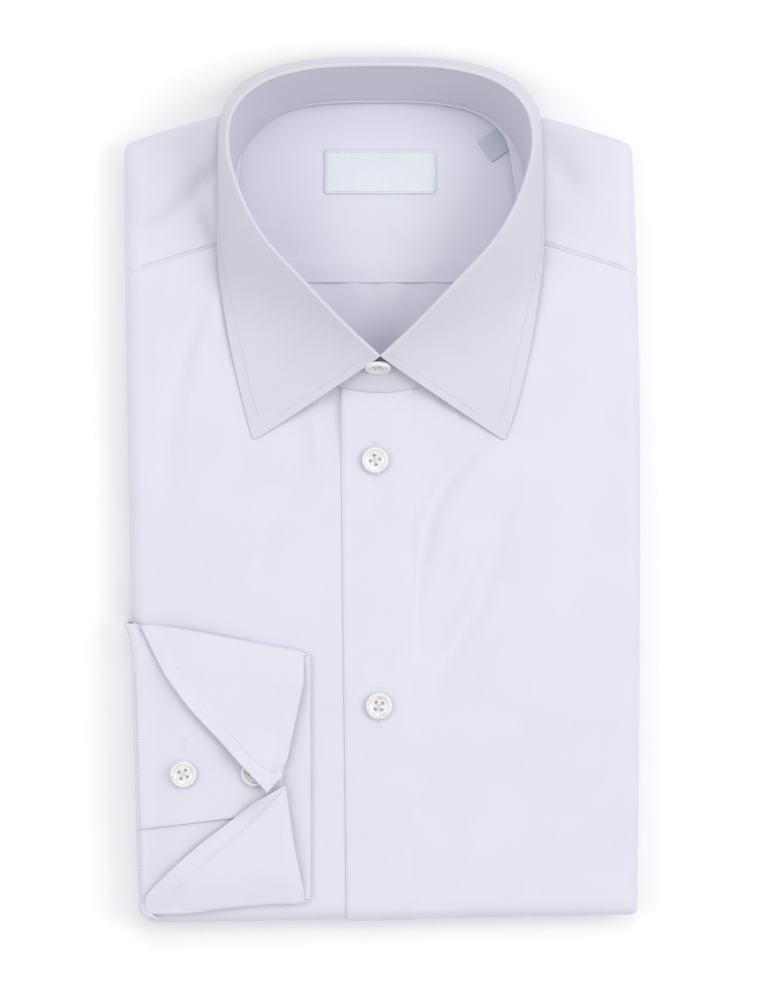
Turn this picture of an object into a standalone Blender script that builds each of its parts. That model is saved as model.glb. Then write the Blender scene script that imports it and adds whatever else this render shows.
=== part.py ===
"""A white dress shirt, pressed, buttoned and folded flat for the shelf.

The front faces up and the collar stands at the +Y end. One sleeve comes round the side at -X,
and its turned-back cuff lies on the front. Everything rests on z = 0. Lengths are in metres.
"""

import math

import bmesh
import bpy
import numpy as np
from mathutils import Matrix, Vector

# Driving dimensions of the folded shirt
MM = 0.001
HALF_WIDTH = 110.0 * MM
HALF_LENGTH = 175.0 * MM
FOLD_REACH = 7.0 * MM
FOLD_DROP = 6.2 * MM
FOLD_TURN = math.radians(150)
CORNER_POWER = 5.0
OUTLINE_POWER = 24.0
LAYER_CLEARANCE = 0.40 * MM
TOP_HEIGHT = 19.5 * MM
CROWN_RISE = 2.2 * MM
CLOTH = 1.2 * MM
GAP = 0.4 * MM
FOLD_RADIUS = (FOLD_REACH + FOLD_DROP) / 2
FLAT_X = HALF_WIDTH - FOLD_REACH
FLAT_Y = HALF_LENGTH - FOLD_REACH
WRAP = FOLD_RADIUS * FOLD_TURN

# The outline in plan: the side at -X draws in towards the bottom fold and behind the sleeve, the side
# at +X bows a little, the bottom fold slopes, and the shoulder fold is highest behind the neck.
LEFT_X = -110.2 * MM
LEFT_DRAW, LEFT_DRAW_FROM_Y, LEFT_DRAW_OVER = 6.4 * MM, 145.0 * MM, 324.0 * MM
SLEEVE_DRAW, SLEEVE_DRAW_FROM_Y, SLEEVE_DRAW_OVER = 3.2 * MM, -50.0 * MM, 18.0 * MM
RIGHT_X = 110.0 * MM
RIGHT_BOW_ABOVE, RIGHT_BOW_BELOW = 3.4 * MM, 0.7 * MM
RIGHT_BOW_Y, RIGHT_BOW_OVER = 3.5 * MM, 142.0 * MM
BOTTOM_Y, BOTTOM_SLOPE = -183.8 * MM, 0.0157
TOP_Y, TOP_FALL = 167.6 * MM, 21.0 * MM

# The button stand, and the panel that runs under it
STAND_LEFT = -18.0 * MM
STAND_RIGHT = 13.5 * MM
STAND_RISE = 0.4 * MM
STAND_TOP = (-18.0 * MM, 40.0 * MM)
STAND_LEAN = 0.0095
UNDERLAP_START = -45.0 * MM
UNDERLAP_END = 9.0 * MM
UNDERLAP_DROP = CLOTH + GAP

# The neck opening, a squared oval at the back and a round one at the front
NECK_X = -1.2 * MM
NECK_Y = 107.0 * MM
NECK_HALF_WIDTH = 61.0 * MM
NECK_BACK = 55.8 * MM
NECK_FRONT = 64.0 * MM
NECK_BACK_POWER = 3.4
NECK_SINK = 3.6 * MM
FRONT_NECKLINE = 0.985
NECK_MARGIN = 1.06
LINING_TOP_Y = NECK_Y + 0.965 * NECK_BACK
PANEL_LOW_Y = NECK_Y - 1.02 * NECK_FRONT

# Shoulder seams, as y at the pack's middle line and its fall for each metre out
SEAM_Y = 125.0 * MM
SEAM_FALL = 0.315
YOKE_HEM_Y = 87.4 * MM
PANEL_HIGH_Y = YOKE_HEM_Y + 4 * MM

# The collar
LEAF = 1.2 * MM
STAND_WALL = 1.4 * MM
ROLL_RADIUS = 2.2 * MM
ROLL_TAB = 4.0 * MM
COLLAR_X = -0.9 * MM
STAND_OVERLAP = 0.028
STAND_SHIFT = 1.0 * MM
STAND_SEAT = 1.12 * MM
STAND_HOLLOW = 2.8 * MM
STAND_TOP_GAP = 0.4 * MM
FRONT_DROP = 1.9 * MM
TAB_END = 0.12
ROLL_END = 0.42
ROLL_SHARE = 0.86
LEAF_STATIONS = (0.0, 0.12, 0.20, 0.27, 0.34, 0.42, 0.52, 0.63, 0.75, 0.88, 1.0)

# One half of the collar from the front to the centre back, millimetres from its middle line:
# the roll line's place, and the place of the leaf's outer edge.
COLLAR_COLUMNS = ("roll_x", "roll_y", "roll_z", "edge_x", "edge_y", "edge_z")
COLLAR_ROWS = (
    (1.6, 55.5, 39.0, 53.0, 20.6, 23.6),
    (14.8, 68.2, 45.0, 59.2, 39.6, 23.4),
    (31.8, 85.7, 51.0, 65.2, 67.1, 23.2),
    (48.3, 103.7, 54.5, 69.2, 96.0, 22.9),
    (58.2, 121.8, 56.0, 69.5, 118.1, 22.5),
    (63.6, 142.1, 56.0, 69.2, 141.6, 22.0),
    (60.3, 158.3, 56.0, 67.4, 160.0, 19.5),
    (47.8, 169.2, 55.5, 56.5, 174.8, 12.0),
    (27.2, 174.7, 55.0, 32.4, 183.0, 8.5),
    (0.0, 175.8, 55.0, 0.0, 184.1, 8.0),
)

# Soft folds pressed into the front: two ends, half width and height, in millimetres
CREASE_COLUMNS = ("x0", "y0", "x1", "y1", "half_width", "height")
CREASE_ROWS = (
    (-72.0, 142.0, -104.0, 106.0, 5.0, -1.2),
    (-84.0, 142.0, -104.0, 118.0, 6.0, 0.9),
    (-76.0, 122.0, -71.0, 104.0, 4.0, -0.8),
    (-70.0, 93.0, -84.0, 62.0, 5.0, -1.2),
    (-84.0, 62.0, -91.0, 20.0, 8.0, -0.8),
    (-90.0, 90.0, -97.0, 52.0, 7.0, 0.7),
    (-34.0, 36.0, -38.0, 8.0, 5.5, -0.9),
    (-38.0, 8.0, -52.0, -44.0, 9.0, -0.6),
    (-25.0, 40.0, -20.0, 15.0, 4.0, -1.0),
    (46.0, 24.0, 27.0, 3.0, 5.0, -1.5),
    (27.0, 3.0, 18.0, -14.0, 5.0, -1.5),
    (18.0, -14.0, 14.0, -46.0, 4.5, -1.1),
    (45.0, 10.0, 30.0, -14.0, 6.0, 0.8),
    (51.0, -6.0, 42.0, -40.0, 6.0, -0.9),
    (42.0, -40.0, 24.0, -76.0, 6.0, -1.2),
    (24.0, -76.0, 14.0, -98.0, 6.0, -0.8),
    (36.0, -16.0, 24.0, -58.0, 7.0, 0.6),
    (50.0, -48.0, 32.0, -90.0, 9.0, 0.6),
    (72.0, 150.0, 84.0, 126.0, 7.0, -0.8),
)

# The hidden layers' rounded edges, below the wrapped fronts: inset and height, in millimetres
LAYER_COLUMNS = ("inset", "height")
LAYER_ROWS = (
    (6.3, 7.3),
    (1.3, 6.9),
    (0.7, 5.3),
    (1.3, 3.9),
    (3.0, 3.6),
    (1.7, 3.2),
    (1.1, 1.8),
    (1.5, 0.5),
    (2.4, 0.0),
)

# The cuff that lies on the front
CUFF_WALL = 1.0 * MM
CUFF_TOP_Y = -60.2 * MM
CUFF_BOTTOM_Y = -174.6 * MM
CUFF_SLOPE = -0.150
CUFF_SLOPE_FROM = -104.0 * MM
CUFF_SEAM_IN = 0.8 * MM
CUFF_END_Y = -140.0 * MM
UNDER_END_Y = -112.0 * MM
NEAR_LIFT = 5.9 * MM
FAR_LIFT = 1.7 * MM
OVERLAP_STEP = CUFF_WALL + 0.3 * MM
MOUTH_X = -33.4 * MM
MOUTH_DEEP = 9.2 * MM
MOUTH_Y = -122.0 * MM
FAR_MOUTH_X = -30.6 * MM
TURN_NEAR_LIFT = NEAR_LIFT + CUFF_WALL + 0.35 * MM
TURN_FAR_LIFT = 0.35 * MM
CUFF_FLATTEN = 1.8 * MM
FAR_FLATTEN = 1.3 * MM
FLATTEN_FROM = -82.0 * MM
FLATTEN_OVER = 18.0 * MM
TURN_MARGIN = 1.9 * MM
TURN_UPPER_END_Y = -125.4 * MM
TURN_LOWER_END_Y = -129.2 * MM
TURN_UNDER_X = -52.0 * MM
TURN_SLOPE_REACH = 25.0 * MM
BUTTON_BUMP = 3.7 * MM

# The sleeve's outer face from the cuff seam down the pack's side, in millimetres from its left edge
SLEEVE_WALL = 2.2 * MM
SLEEVE_BOTTOM_Y = -180.5 * MM
PLEAT_DEPTH = 0.6 * MM
PLEAT_PITCH = 8.4 * MM
PLEATS_OVER = 17.0 * MM
SLEEVE_COLUMNS = ("across", "height")
SLEEVE_ROWS = (
    (-0.8, 23.6),
    (-1.8, 23.0),
    (-2.6, 21.5),
    (-3.0, 18.8),
    (-3.2, 14.0),
    (-3.2, 9.0),
    (-3.1, 5.0),
    (-2.9, 1.2),
)

# The free edge of the turned-back cuff, in millimetres
TURN_COLUMNS = ("x", "y")
UPPER_EDGE_ROWS = (
    (-48.8, -126.4),
    (-58.2, -116.9),
    (-68.8, -105.9),
    (-81.5, -94.0),
    (-92.1, -82.4),
    (-98.5, -72.3),
    (-104.0, -62.8),
)
LOWER_EDGE_ROWS = (
    (-47.0, -127.6),
    (-60.0, -136.4),
    (-75.0, -147.2),
    (-90.0, -159.0),
    (-101.0, -169.0),
)

# Buttons: the turned profile as radius and height, and the places on the fronts and the cuff, in
# millimetres. The collar's button is placed by how far it is round the stand and up it.
BUTTON_THICK = 2.4 * MM
BUTTON_HOLE = 0.85 * MM
BUTTON_HOLE_OUT = 1.55 * MM
BUTTON_SEAT = 0.35 * MM
BUTTON_LIFT = 0.1 * MM
COLLAR_BUTTON_LIFT = 0.9 * MM
STAND_EDGE_GAP = 0.35 * MM
BUTTON_SEGMENTS = 16
BUTTON_PROFILE = (
    (0.0, 0.0),
    (4.9, 0.0),
    (5.7, 0.9),
    (5.6, 1.7),
    (4.9, 2.4),
    (4.2, 2.3),
    (3.4, 1.6),
    (0.0, 1.5),
)
FRONT_BUTTONS = (("front_button_1", -3.2, 11.9), ("front_button_2", -1.5, -92.4))
CUFF_BUTTONS = (("cuff_button_1", -84.0, -121.1), ("cuff_button_2", -54.0, -120.6))
COLLAR_BUTTON = (1.004, 0.66)

# The labels inside the neck: middle, width, length and turn
LABEL_LIFT = 0.9 * MM
LABEL_CLOTH = 0.5 * MM
NECK_LABEL = (-1.0 * MM, 134.7 * MM, 47.6 * MM, 18.8 * MM, 0.0)
SIZE_TAG = (47.6 * MM, 145.6 * MM, 11.2 * MM, 10.4 * MM, math.radians(36))

# The rows of the fronts, from the bottom fold to the seams: closer together across the folds
FRONT_ROWS = (0.0, 0.12, 0.25, 0.36, 0.44, 0.50, 0.56, 0.61)
FRONT_ROWS += (0.66, 0.71, 0.76, 0.81, 0.86, 0.91, 0.955, 1.0)

SHIRT_WHITE = (0.86, 0.86, 0.90, 1.0)
LABEL_WHITE = (0.82, 0.86, 0.88, 1.0)
TAG_GREY = (0.72, 0.73, 0.80, 1.0)
PEARL = (0.88, 0.88, 0.84, 1.0)


def column(rows, names, name):
    """One named column of a table of millimetres, as metres."""
    return np.array([row[names.index(name)] for row in rows]) * MM


def smooth(t):
    """A smooth step from 0 to 1."""
    t = np.clip(t, 0.0, 1.0)
    return t * t * (3 - 2 * t)


def through(values, t):
    """A smooth curve through evenly numbered values, read at t from 0 to 1."""
    values = np.asarray(values, float)
    last = len(values) - 1
    at = np.clip(np.asarray(t, float), 0.0, 1.0) * last
    i = np.clip(np.floor(at).astype(int), 0, last - 1)
    f = (at - i).reshape(at.shape + (1,) * (values.ndim - 1))
    p0, p1 = values[np.maximum(i - 1, 0)], values[i]
    p2, p3 = values[i + 1], values[np.minimum(i + 2, last)]
    square = 2 * p0 - 5 * p1 + 4 * p2 - p3
    cube = 3 * p1 - p0 - 3 * p2 + p3
    return 0.5 * (2 * p1 + (p2 - p0) * f + square * f**2 + cube * f**3)


def left_edge(y):
    """The pack's side at -X."""
    along = np.clip((LEFT_DRAW_FROM_Y - y) / LEFT_DRAW_OVER, 0, 1)
    behind_sleeve = smooth((SLEEVE_DRAW_FROM_Y - y) / SLEEVE_DRAW_OVER)
    return LEFT_X + LEFT_DRAW * along**1.6 + SLEEVE_DRAW * behind_sleeve


def right_edge(y):
    """The pack's side at +X."""
    out = (y - RIGHT_BOW_Y) / RIGHT_BOW_OVER
    return RIGHT_X - np.where(out > 0, RIGHT_BOW_ABOVE, RIGHT_BOW_BELOW) * out**2


def bottom_edge(x):
    """The bottom fold."""
    return BOTTOM_Y + BOTTOM_SLOPE * x


def top_edge(x):
    """The shoulder fold."""
    return TOP_Y - TOP_FALL * (np.abs(x) / HALF_WIDTH) ** 1.9


def neck_scale(x, y):
    """1 on the neckline seam, less inside it and more outside it."""
    across = np.abs(x - NECK_X) / NECK_HALF_WIDTH
    back = np.maximum(y - NECK_Y, 0) / NECK_BACK
    front = np.maximum(NECK_Y - y, 0) / NECK_FRONT
    n = NECK_BACK_POWER
    return np.where(y > NECK_Y, (across**n + back**n) ** (1 / n), np.sqrt(across**2 + front**2))


def creases(x, y):
    """The height that the soft folds add or take. It halves at a row's ends, so that rows join."""
    total = np.zeros(np.broadcast(x, y).shape)
    for x0, y0, x1, y1, half_width, height in np.array(CREASE_ROWS) * MM:
        dx, dy = x1 - x0, y1 - y0
        length = math.hypot(dx, dy)
        along = ((x - x0) * dx + (y - y0) * dy) / length
        inside = length / 2 - np.abs(along - length / 2)
        off = ((x - x0) * dy - (y - y0) * dx) / length
        total += height * np.exp(-((off / half_width) ** 2)) * smooth(inside / (3 * half_width) + 0.5)
    return total


def lowest_crease(x, y):
    """The lowest that the soft folds come near a place, so that coarse layers stay under them."""
    near = np.array([-8.0, -4.0, 0.0, 4.0, 8.0]) * MM
    return np.min([creases(x + dx, y + dy) for dx in near for dy in near], axis=0)


def pack_surface(p, q, folds=creases):
    """Points of the pack's outer cloth. p and q run along the cloth, and go over its folded edges."""
    over_x = np.maximum(np.abs(p) - FLAT_X, 0)
    over_y = np.maximum(np.abs(q) - FLAT_Y, 0)
    n = CORNER_POWER
    over = np.maximum(over_x, over_y)
    turn = over / FOLD_RADIUS
    reach = FOLD_REACH * np.sin(turn) / np.maximum((over_x**n + over_y**n) ** (1 / n), 1e-9)
    flat_p = np.sign(p) * (np.minimum(np.abs(p), FLAT_X) + over_x * reach)
    flat_q = np.sign(q) * (np.minimum(np.abs(q), FLAT_Y) + over_y * reach)
    low, high = bottom_edge(flat_p), top_edge(flat_p)
    y = low + (flat_q + HALF_LENGTH) / (2 * HALF_LENGTH) * (high - low)
    x = left_edge(y) + (flat_p + HALF_WIDTH) / (2 * HALF_WIDTH) * (right_edge(y) - left_edge(y))
    crown = (1 - (flat_p / HALF_WIDTH) ** 2) * (1 - (flat_q / HALF_LENGTH) ** 4)
    fade = np.clip(1 - over / FOLD_REACH, 0, 1)
    z = TOP_HEIGHT + CROWN_RISE * crown - FOLD_DROP * (1 - np.cos(turn)) + folds(x, y) * fade
    return np.stack([x, y, z], axis=-1)


def along_cloth(x, y):
    """The p and q of a place on the flat part, given in plan."""
    p = (x - left_edge(y)) / (right_edge(y) - left_edge(y)) * 2 * HALF_WIDTH - HALF_WIDTH
    low, high = bottom_edge(p), top_edge(p)
    return p, (y - low) / (high - low) * 2 * HALF_LENGTH - HALF_LENGTH


def normals_of(surface, a, b, step=2e-4):
    """Outward unit normals of a surface of two numbers, by small differences."""
    along_a = surface(a + step, b) - surface(a - step, b)
    along_b = surface(a, b + step) - surface(a, b - step)
    normal = np.cross(along_a, along_b)
    return normal / np.maximum(np.linalg.norm(normal, axis=-1, keepdims=True), 1e-12)


def lifted(p, q, lift):
    """A place on the pack, moved out from its cloth by lift."""
    return pack_surface(p, q) + normals_of(pack_surface, p, q) * np.asarray(lift)[..., None]


def on_top(x, y, lift):
    """Points over a place in plan, moved out from the cloth by lift."""
    p, q = along_cloth(np.asarray(x, float), np.asarray(y, float))
    return lifted(p, q, np.broadcast_to(lift, p.shape))


def stack_depth(x, y):
    """How far under the outer cloth the hidden layers lie."""
    under_stand = smooth((x + 68 * MM) / (24 * MM)) * smooth((42 * MM - x) / (22 * MM))
    under_stand = under_stand * smooth((90 * MM - y) / (20 * MM))
    in_neck = smooth((1.5 - neck_scale(x, y)) / 0.5)
    return CLOTH + GAP + (UNDERLAP_DROP + 0.1 * MM) * under_stand + NECK_SINK * in_neck


def neck_cloth_lift(x, y):
    """The cloth seen inside the neck, which lies on the hidden layers."""
    return CLOTH + GAP - stack_depth(x, y)


def front_level(x, y):
    """The lift of the uppermost front near the neckline, which steps up over the stand's edge."""
    in_front = smooth((NECK_Y - 30 * MM - y) / (20 * MM))
    past_left = smooth((x - STAND_LEFT + 8 * MM) / (6 * MM))
    over_stand = past_left * smooth((STAND_RIGHT + 8 * MM - x) / (6 * MM))
    under = smooth((x - UNDERLAP_START) / (20 * MM)) * smooth((STAND_LEFT - x) / (6 * MM))
    return (STAND_RISE * over_stand - UNDERLAP_DROP * under) * in_front


def seam_y(x):
    """The yoke's front seam on either shoulder."""
    return SEAM_Y - SEAM_FALL * np.abs(x)


def neckline_y(x, scale, back):
    """The neckline at the given x, towards the back or the front; the shoulder line past its sides."""
    across = np.clip(np.abs(x - NECK_X) / (NECK_HALF_WIDTH * scale), 0, 1)
    if back:
        n = NECK_BACK_POWER
        return NECK_Y + NECK_BACK * scale * (1 - across**n) ** (1 / n)
    return NECK_Y - NECK_FRONT * scale * np.sqrt(1 - across**2)


def shoulder_y(x, back):
    """The edge of the fronts, or of the yoke: the neckline, and beside it the shoulder seam."""
    beside = smooth((np.abs(x - NECK_X) - 0.93 * NECK_HALF_WIDTH) / (0.1 * NECK_HALF_WIDTH))
    seam = seam_y(x) + (GAP / 2 if back else -GAP / 2)
    return neckline_y(x, FRONT_NECKLINE, back) * (1 - beside) + seam * beside


def along_stand(p, q):
    """How far to move cloth along p, so that the button stand is straight and leans a little."""
    edge = pack_surface(np.full(p.shape, STAND_LEFT), q)
    wanted = STAND_TOP[0] + STAND_LEAN * (STAND_TOP[1] - edge[:, 1])
    beyond = np.maximum(np.abs(p) - 20 * MM, 0)
    return (wanted - edge[:, 0]) * smooth(1 - beyond / (50 * MM))


def material(name, colour, roughness):
    """A plain material in the part's colour."""
    made = bpy.data.materials.get(name) or bpy.data.materials.new(name)
    made.use_nodes = True
    shader = made.node_tree.nodes["Principled BSDF"]
    shader.inputs["Base Color"].default_value = colour
    shader.inputs["Roughness"].default_value = roughness
    shader.inputs["Metallic"].default_value = 0.0
    return made


def keep(name, mesh, finish):
    """Adds a mesh to the part as a named object."""
    obj = bpy.data.objects.new(name, mesh)
    mesh.materials.append(finish)
    PIECES.objects.link(obj)
    return obj


def cloth(name, place, columns, rows, thickness, finish):
    """A grid of cloth, laid by place(column, row) and given its thickness inwards."""
    bm = bmesh.new()
    bmesh.ops.create_grid(bm, x_segments=columns, y_segments=rows, size=0.5)
    ij = np.array([((v.co.x + 0.5) * columns, (v.co.y + 0.5) * rows) for v in bm.verts])
    for vertex, co in zip(bm.verts, place(np.rint(ij[:, 0]), np.rint(ij[:, 1]))):
        vertex.co = co
    mesh = bpy.data.meshes.new(name)
    bm.to_mesh(mesh)
    bm.free()
    mesh.shade_smooth()
    obj = keep(name, mesh, finish)
    wall = obj.modifiers.new("wall", "SOLIDIFY")
    wall.thickness = thickness
    wall.offset = -1.0
    return obj


def steps(*runs):
    """Joins runs of (start, stop, count) into one rising list of positions."""
    found = [runs[0][0]]
    for start, stop, count in runs:
        found += list(np.linspace(start, stop, count + 1)[1:])
    return np.array(found)


def make_front(name, side, finish):
    """One front. It wraps the side and the bottom fold; side is -1 for the one with the buttons."""
    if side < 0:
        across = steps(
            (-FLAT_X - WRAP, -FLAT_X, 6), (-FLAT_X, -64 * MM, 4), (-64 * MM, UNDERLAP_END, 11)
        )
    else:
        across = steps(
            (STAND_LEFT, STAND_RIGHT + 2 * MM, 6),
            (STAND_RIGHT + 2 * MM, 62 * MM, 8),
            (62 * MM, FLAT_X, 4),
            (FLAT_X, FLAT_X + WRAP, 6),
        )
    turned = 5
    shares = np.concatenate([np.zeros(turned), FRONT_ROWS])

    def place(i, j):
        p = across[i.astype(int)]
        x_flat = np.clip(p, -FLAT_X, FLAT_X)
        q_low = -FLAT_Y - WRAP * (1 - j / turned)
        _, q_top = along_cloth(x_flat, shoulder_y(x_flat, back=False))
        q = np.where(j < turned, q_low, -FLAT_Y + (q_top + FLAT_Y) * shares[j.astype(int)])
        if side < 0:
            return lifted(p, q, -UNDERLAP_DROP * smooth((p - UNDERLAP_START) / (20 * MM)))
        return lifted(p + along_stand(p, q), q, STAND_RISE * smooth((STAND_RIGHT - p) / (2 * MM)))

    return cloth(name, place, len(across) - 1, len(shares) - 1, CLOTH, finish)


def make_yoke(finish):
    """The yoke, from the front seams and the back neckline over the shoulder fold."""
    outer, inner = 1.03 * NECK_HALF_WIDTH, 0.80 * NECK_HALF_WIDTH
    across = steps(
        (-FLAT_X - WRAP, -FLAT_X, 5),
        (-FLAT_X, NECK_X - outer, 4),
        (NECK_X - outer, NECK_X - inner, 5),
        (NECK_X - inner, NECK_X + inner, 8),
        (NECK_X + inner, NECK_X + outer, 5),
        (NECK_X + outer, FLAT_X, 4),
        (FLAT_X, FLAT_X + WRAP, 5),
    )
    flat, turned = 5, 5

    def place(i, j):
        p = across[i.astype(int)]
        x_flat = np.clip(p, -FLAT_X, FLAT_X)
        _, q_low = along_cloth(x_flat, shoulder_y(x_flat, back=True))
        start = np.maximum(FLAT_Y, q_low)
        on_flat = q_low + (start - q_low) * (j / flat)
        round_fold = start + (FLAT_Y + WRAP - start) * ((j - flat) / turned)
        narrow = q_low + (FLAT_Y + WRAP - q_low) * (j / (flat + turned))
        q = np.where(j <= flat, on_flat, round_fold)
        return lifted(p, np.where(q_low > FLAT_Y - 3 * MM, narrow, q), np.zeros(p.shape))

    return cloth("yoke", place, len(across) - 1, flat + turned, CLOTH, finish)


def make_neck_cloth(name, low, high, rise_at_hem, columns, rows, row_power, finish):
    """A panel seen inside the neck, with a margin hidden under the fronts.

    low and high give its lower and upper ends, each as a scale of the neckline and a y.
    """
    (low_scale, low_y), (high_scale, high_y) = low, high

    def place(i, j):
        u = 2 * i / columns - 1
        y = low_y + (high_y - low_y) * (j / rows) ** row_power
        back = np.clip((y - NECK_Y) / (NECK_BACK * high_scale), 0, 0.999)
        front = np.clip((NECK_Y - y) / (NECK_FRONT * low_scale), 0, 0.999)
        n = NECK_BACK_POWER
        half_back = high_scale * (1 - back**n) ** (1 / n)
        half_front = low_scale * np.sqrt(1 - front**2)
        x = NECK_X + u * NECK_HALF_WIDTH * np.where(y > NECK_Y, half_back, half_front)
        lift = neck_cloth_lift(x, y) + rise_at_hem * smooth((low_y + 15 * MM - y) / (9 * MM))
        return on_top(x, y, lift)

    return cloth(name, place, columns, rows, CLOTH, finish)


def whole_line(x_name, y_name, z_name):
    """Both halves of one of the collar's lines, from the front at -X round the back."""
    half = [column(COLLAR_ROWS, COLLAR_COLUMNS, name) for name in (x_name, y_name, z_name)]
    across = np.concatenate([-half[0], half[0][-2::-1]]) + COLLAR_X
    along, up = (np.concatenate([values, values[-2::-1]]) for values in half[1:])
    return np.stack([across, along, up], axis=-1)


ROLL_POINTS = whole_line("roll_x", "roll_y", "roll_z")
EDGE_POINTS = whole_line("edge_x", "edge_y", "edge_z")
UP = np.array([0.0, 0.0, 1.0])


def roll_frame(u):
    """The roll line's point at u and its outward direction in plan."""
    after, before = (through(ROLL_POINTS, np.clip(u + step, 0, 1)) for step in (0.004, -0.004))
    ahead = after - before
    out = np.stack([-ahead[..., 1], ahead[..., 0], np.zeros(u.shape)], axis=-1)
    return through(ROLL_POINTS, u), out / np.linalg.norm(out, axis=-1, keepdims=True)


def on_roll(crest, out, turn):
    """A place on the rolled edge, turned from straight out at 0 to straight in at pi."""
    across, rise = ROLL_RADIUS * np.cos(turn), ROLL_RADIUS * (np.sin(turn) - 1)
    return crest + out * across[..., None] + UP * rise[..., None]


def leaf_surface(u, v):
    """The collar leaf: a tab up inside the roll, over the roll, then down to the outer edge."""
    crest, out = roll_frame(u)
    last = math.pi * (1 - ROLL_SHARE)
    rolled = np.clip((v - TAB_END) / (ROLL_END - TAB_END), 0, 1)
    ring = on_roll(crest, out, math.pi - (math.pi - last) * rolled)
    below = (ROLL_TAB - ROLL_RADIUS) * (1 - v / TAB_END)
    tab = crest - out * ROLL_RADIUS - UP * (ROLL_RADIUS + below)[..., None]
    start = on_roll(crest, out, np.full(u.shape, last))
    fall = through(EDGE_POINTS, u) - start
    width = np.linalg.norm(fall[..., :2], axis=-1)
    share = 0.92 - 0.42 * smooth((width - 10 * MM) / (45 * MM))
    bend = start + fall * np.stack([share, share, np.full(u.shape, 0.24)], axis=-1)
    t = np.clip((v - ROLL_END) / (1 - ROLL_END), 0, 1)[..., None]
    drop = (1 - t) ** 2 * start + 2 * t * (1 - t) * bend + t**2 * (start + fall)
    v = v[..., None]
    return np.where(v < TAB_END, tab, np.where(v < ROLL_END, ring, drop))


def make_leaf(finish):
    """The turned-down collar leaf, with its thickness under its outer face."""
    columns = 36
    stations = np.array(LEAF_STATIONS)

    def place(i, j):
        return leaf_surface(i / columns, stations[j.astype(int)])

    obj = cloth("collar_leaf", place, columns, len(stations) - 1, LEAF, finish)
    flip(obj)
    return obj


def flip(obj):
    """Turns a surface over, so that its thickness goes to its other side."""
    bm = bmesh.new()
    bm.from_mesh(obj.data)
    bmesh.ops.reverse_faces(bm, faces=bm.faces)
    bm.to_mesh(obj.data)
    bm.free()


def stand_base(u, v):
    """The stand without its overlap. u runs round the neck and past both ends, v up from the seam."""
    wrapped = np.mod(u, 1.0)
    crest, out = roll_frame(wrapped)
    from_front = np.minimum(wrapped, 1 - wrapped)
    drop = ROLL_TAB + STAND_TOP_GAP + FRONT_DROP * smooth((0.08 - from_front) / 0.05)
    top = crest - out * ROLL_RADIUS - UP * drop[..., None]
    middle = np.array([NECK_X, NECK_Y])
    away = top[..., :2] - middle
    probe = away / np.linalg.norm(away, axis=-1, keepdims=True) * NECK_BACK
    scale = neck_scale(NECK_X + probe[..., 0], NECK_Y + probe[..., 1])
    foot = middle + probe / scale[..., None]
    lift = front_level(foot[..., 0], foot[..., 1]) + STAND_SEAT
    seat = on_top(foot[..., 0], foot[..., 1], lift)
    hollow = STAND_HOLLOW * 4 * np.clip(v * (1 - v), 0, 1) * smooth((0.10 - from_front) / 0.08)
    return seat + (top - seat) * v[..., None] - out * hollow[..., None]


def stand_surface(u, v):
    """The stand with its ends lapped: the buttonhole end lies outside the button end."""
    end = smooth((u - (1 - 2.2 * STAND_OVERLAP)) / (2 * STAND_OVERLAP))
    start = smooth((2.2 * STAND_OVERLAP - u) / (2 * STAND_OVERLAP))
    normal = normals_of(stand_base, u, v, 1e-3)
    return stand_base(u, v) + normal * ((start - end) * STAND_SHIFT)[..., None]


def make_stand(finish):
    """The collar stand, round the neck and buttoned over itself at the front."""
    columns, rows = 44, 3

    def place(i, j):
        u = -STAND_OVERLAP + (1 + 2 * STAND_OVERLAP) * i / columns
        return stand_surface(u, j / rows)

    return cloth("collar_stand", place, columns, rows, STAND_WALL, finish)


UPPER_RINGS = np.array([0.08, 0.2, 0.32, 0.44, 0.56, 0.68, 0.8, 0.91, 1.0])
TURNED_RINGS = np.radians([24, 48, 72, 96, 122])
UNDER_RINGS = np.array([0.86, 0.5])
RINGS = len(UPPER_RINGS) + len(TURNED_RINGS) + len(LAYER_ROWS) + len(UNDER_RINGS)


def make_stack(finish):
    """The hidden layers: one rounded solid under the fronts, with layered edges, flat underneath."""
    around = 56
    bm = bmesh.new()
    bmesh.ops.create_uvsphere(bm, u_segments=around, v_segments=RINGS + 1, radius=1.0)
    co = np.array([v.co for v in bm.verts])
    ring = np.rint(np.arccos(np.clip(co[:, 2], -1, 1)) / math.pi * (RINGS + 1)).astype(int) - 1
    for vertex, spot in zip(bm.verts, stack_points(ring, np.arctan2(co[:, 1], co[:, 0]))):
        vertex.co = spot
    bmesh.ops.recalc_face_normals(bm, faces=bm.faces)
    mesh = bpy.data.meshes.new("folded_layers")
    bm.to_mesh(mesh)
    bm.free()
    mesh.shade_smooth()
    return keep("folded_layers", mesh, finish)


def box_direction(angle):
    """A point on the edge of a square, in the given direction."""
    c, s = np.cos(angle), np.sin(angle)
    reach = np.minimum(1 / np.maximum(np.abs(c), 1e-9), 1 / np.maximum(np.abs(s), 1e-9))
    return c * reach, s * reach


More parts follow.
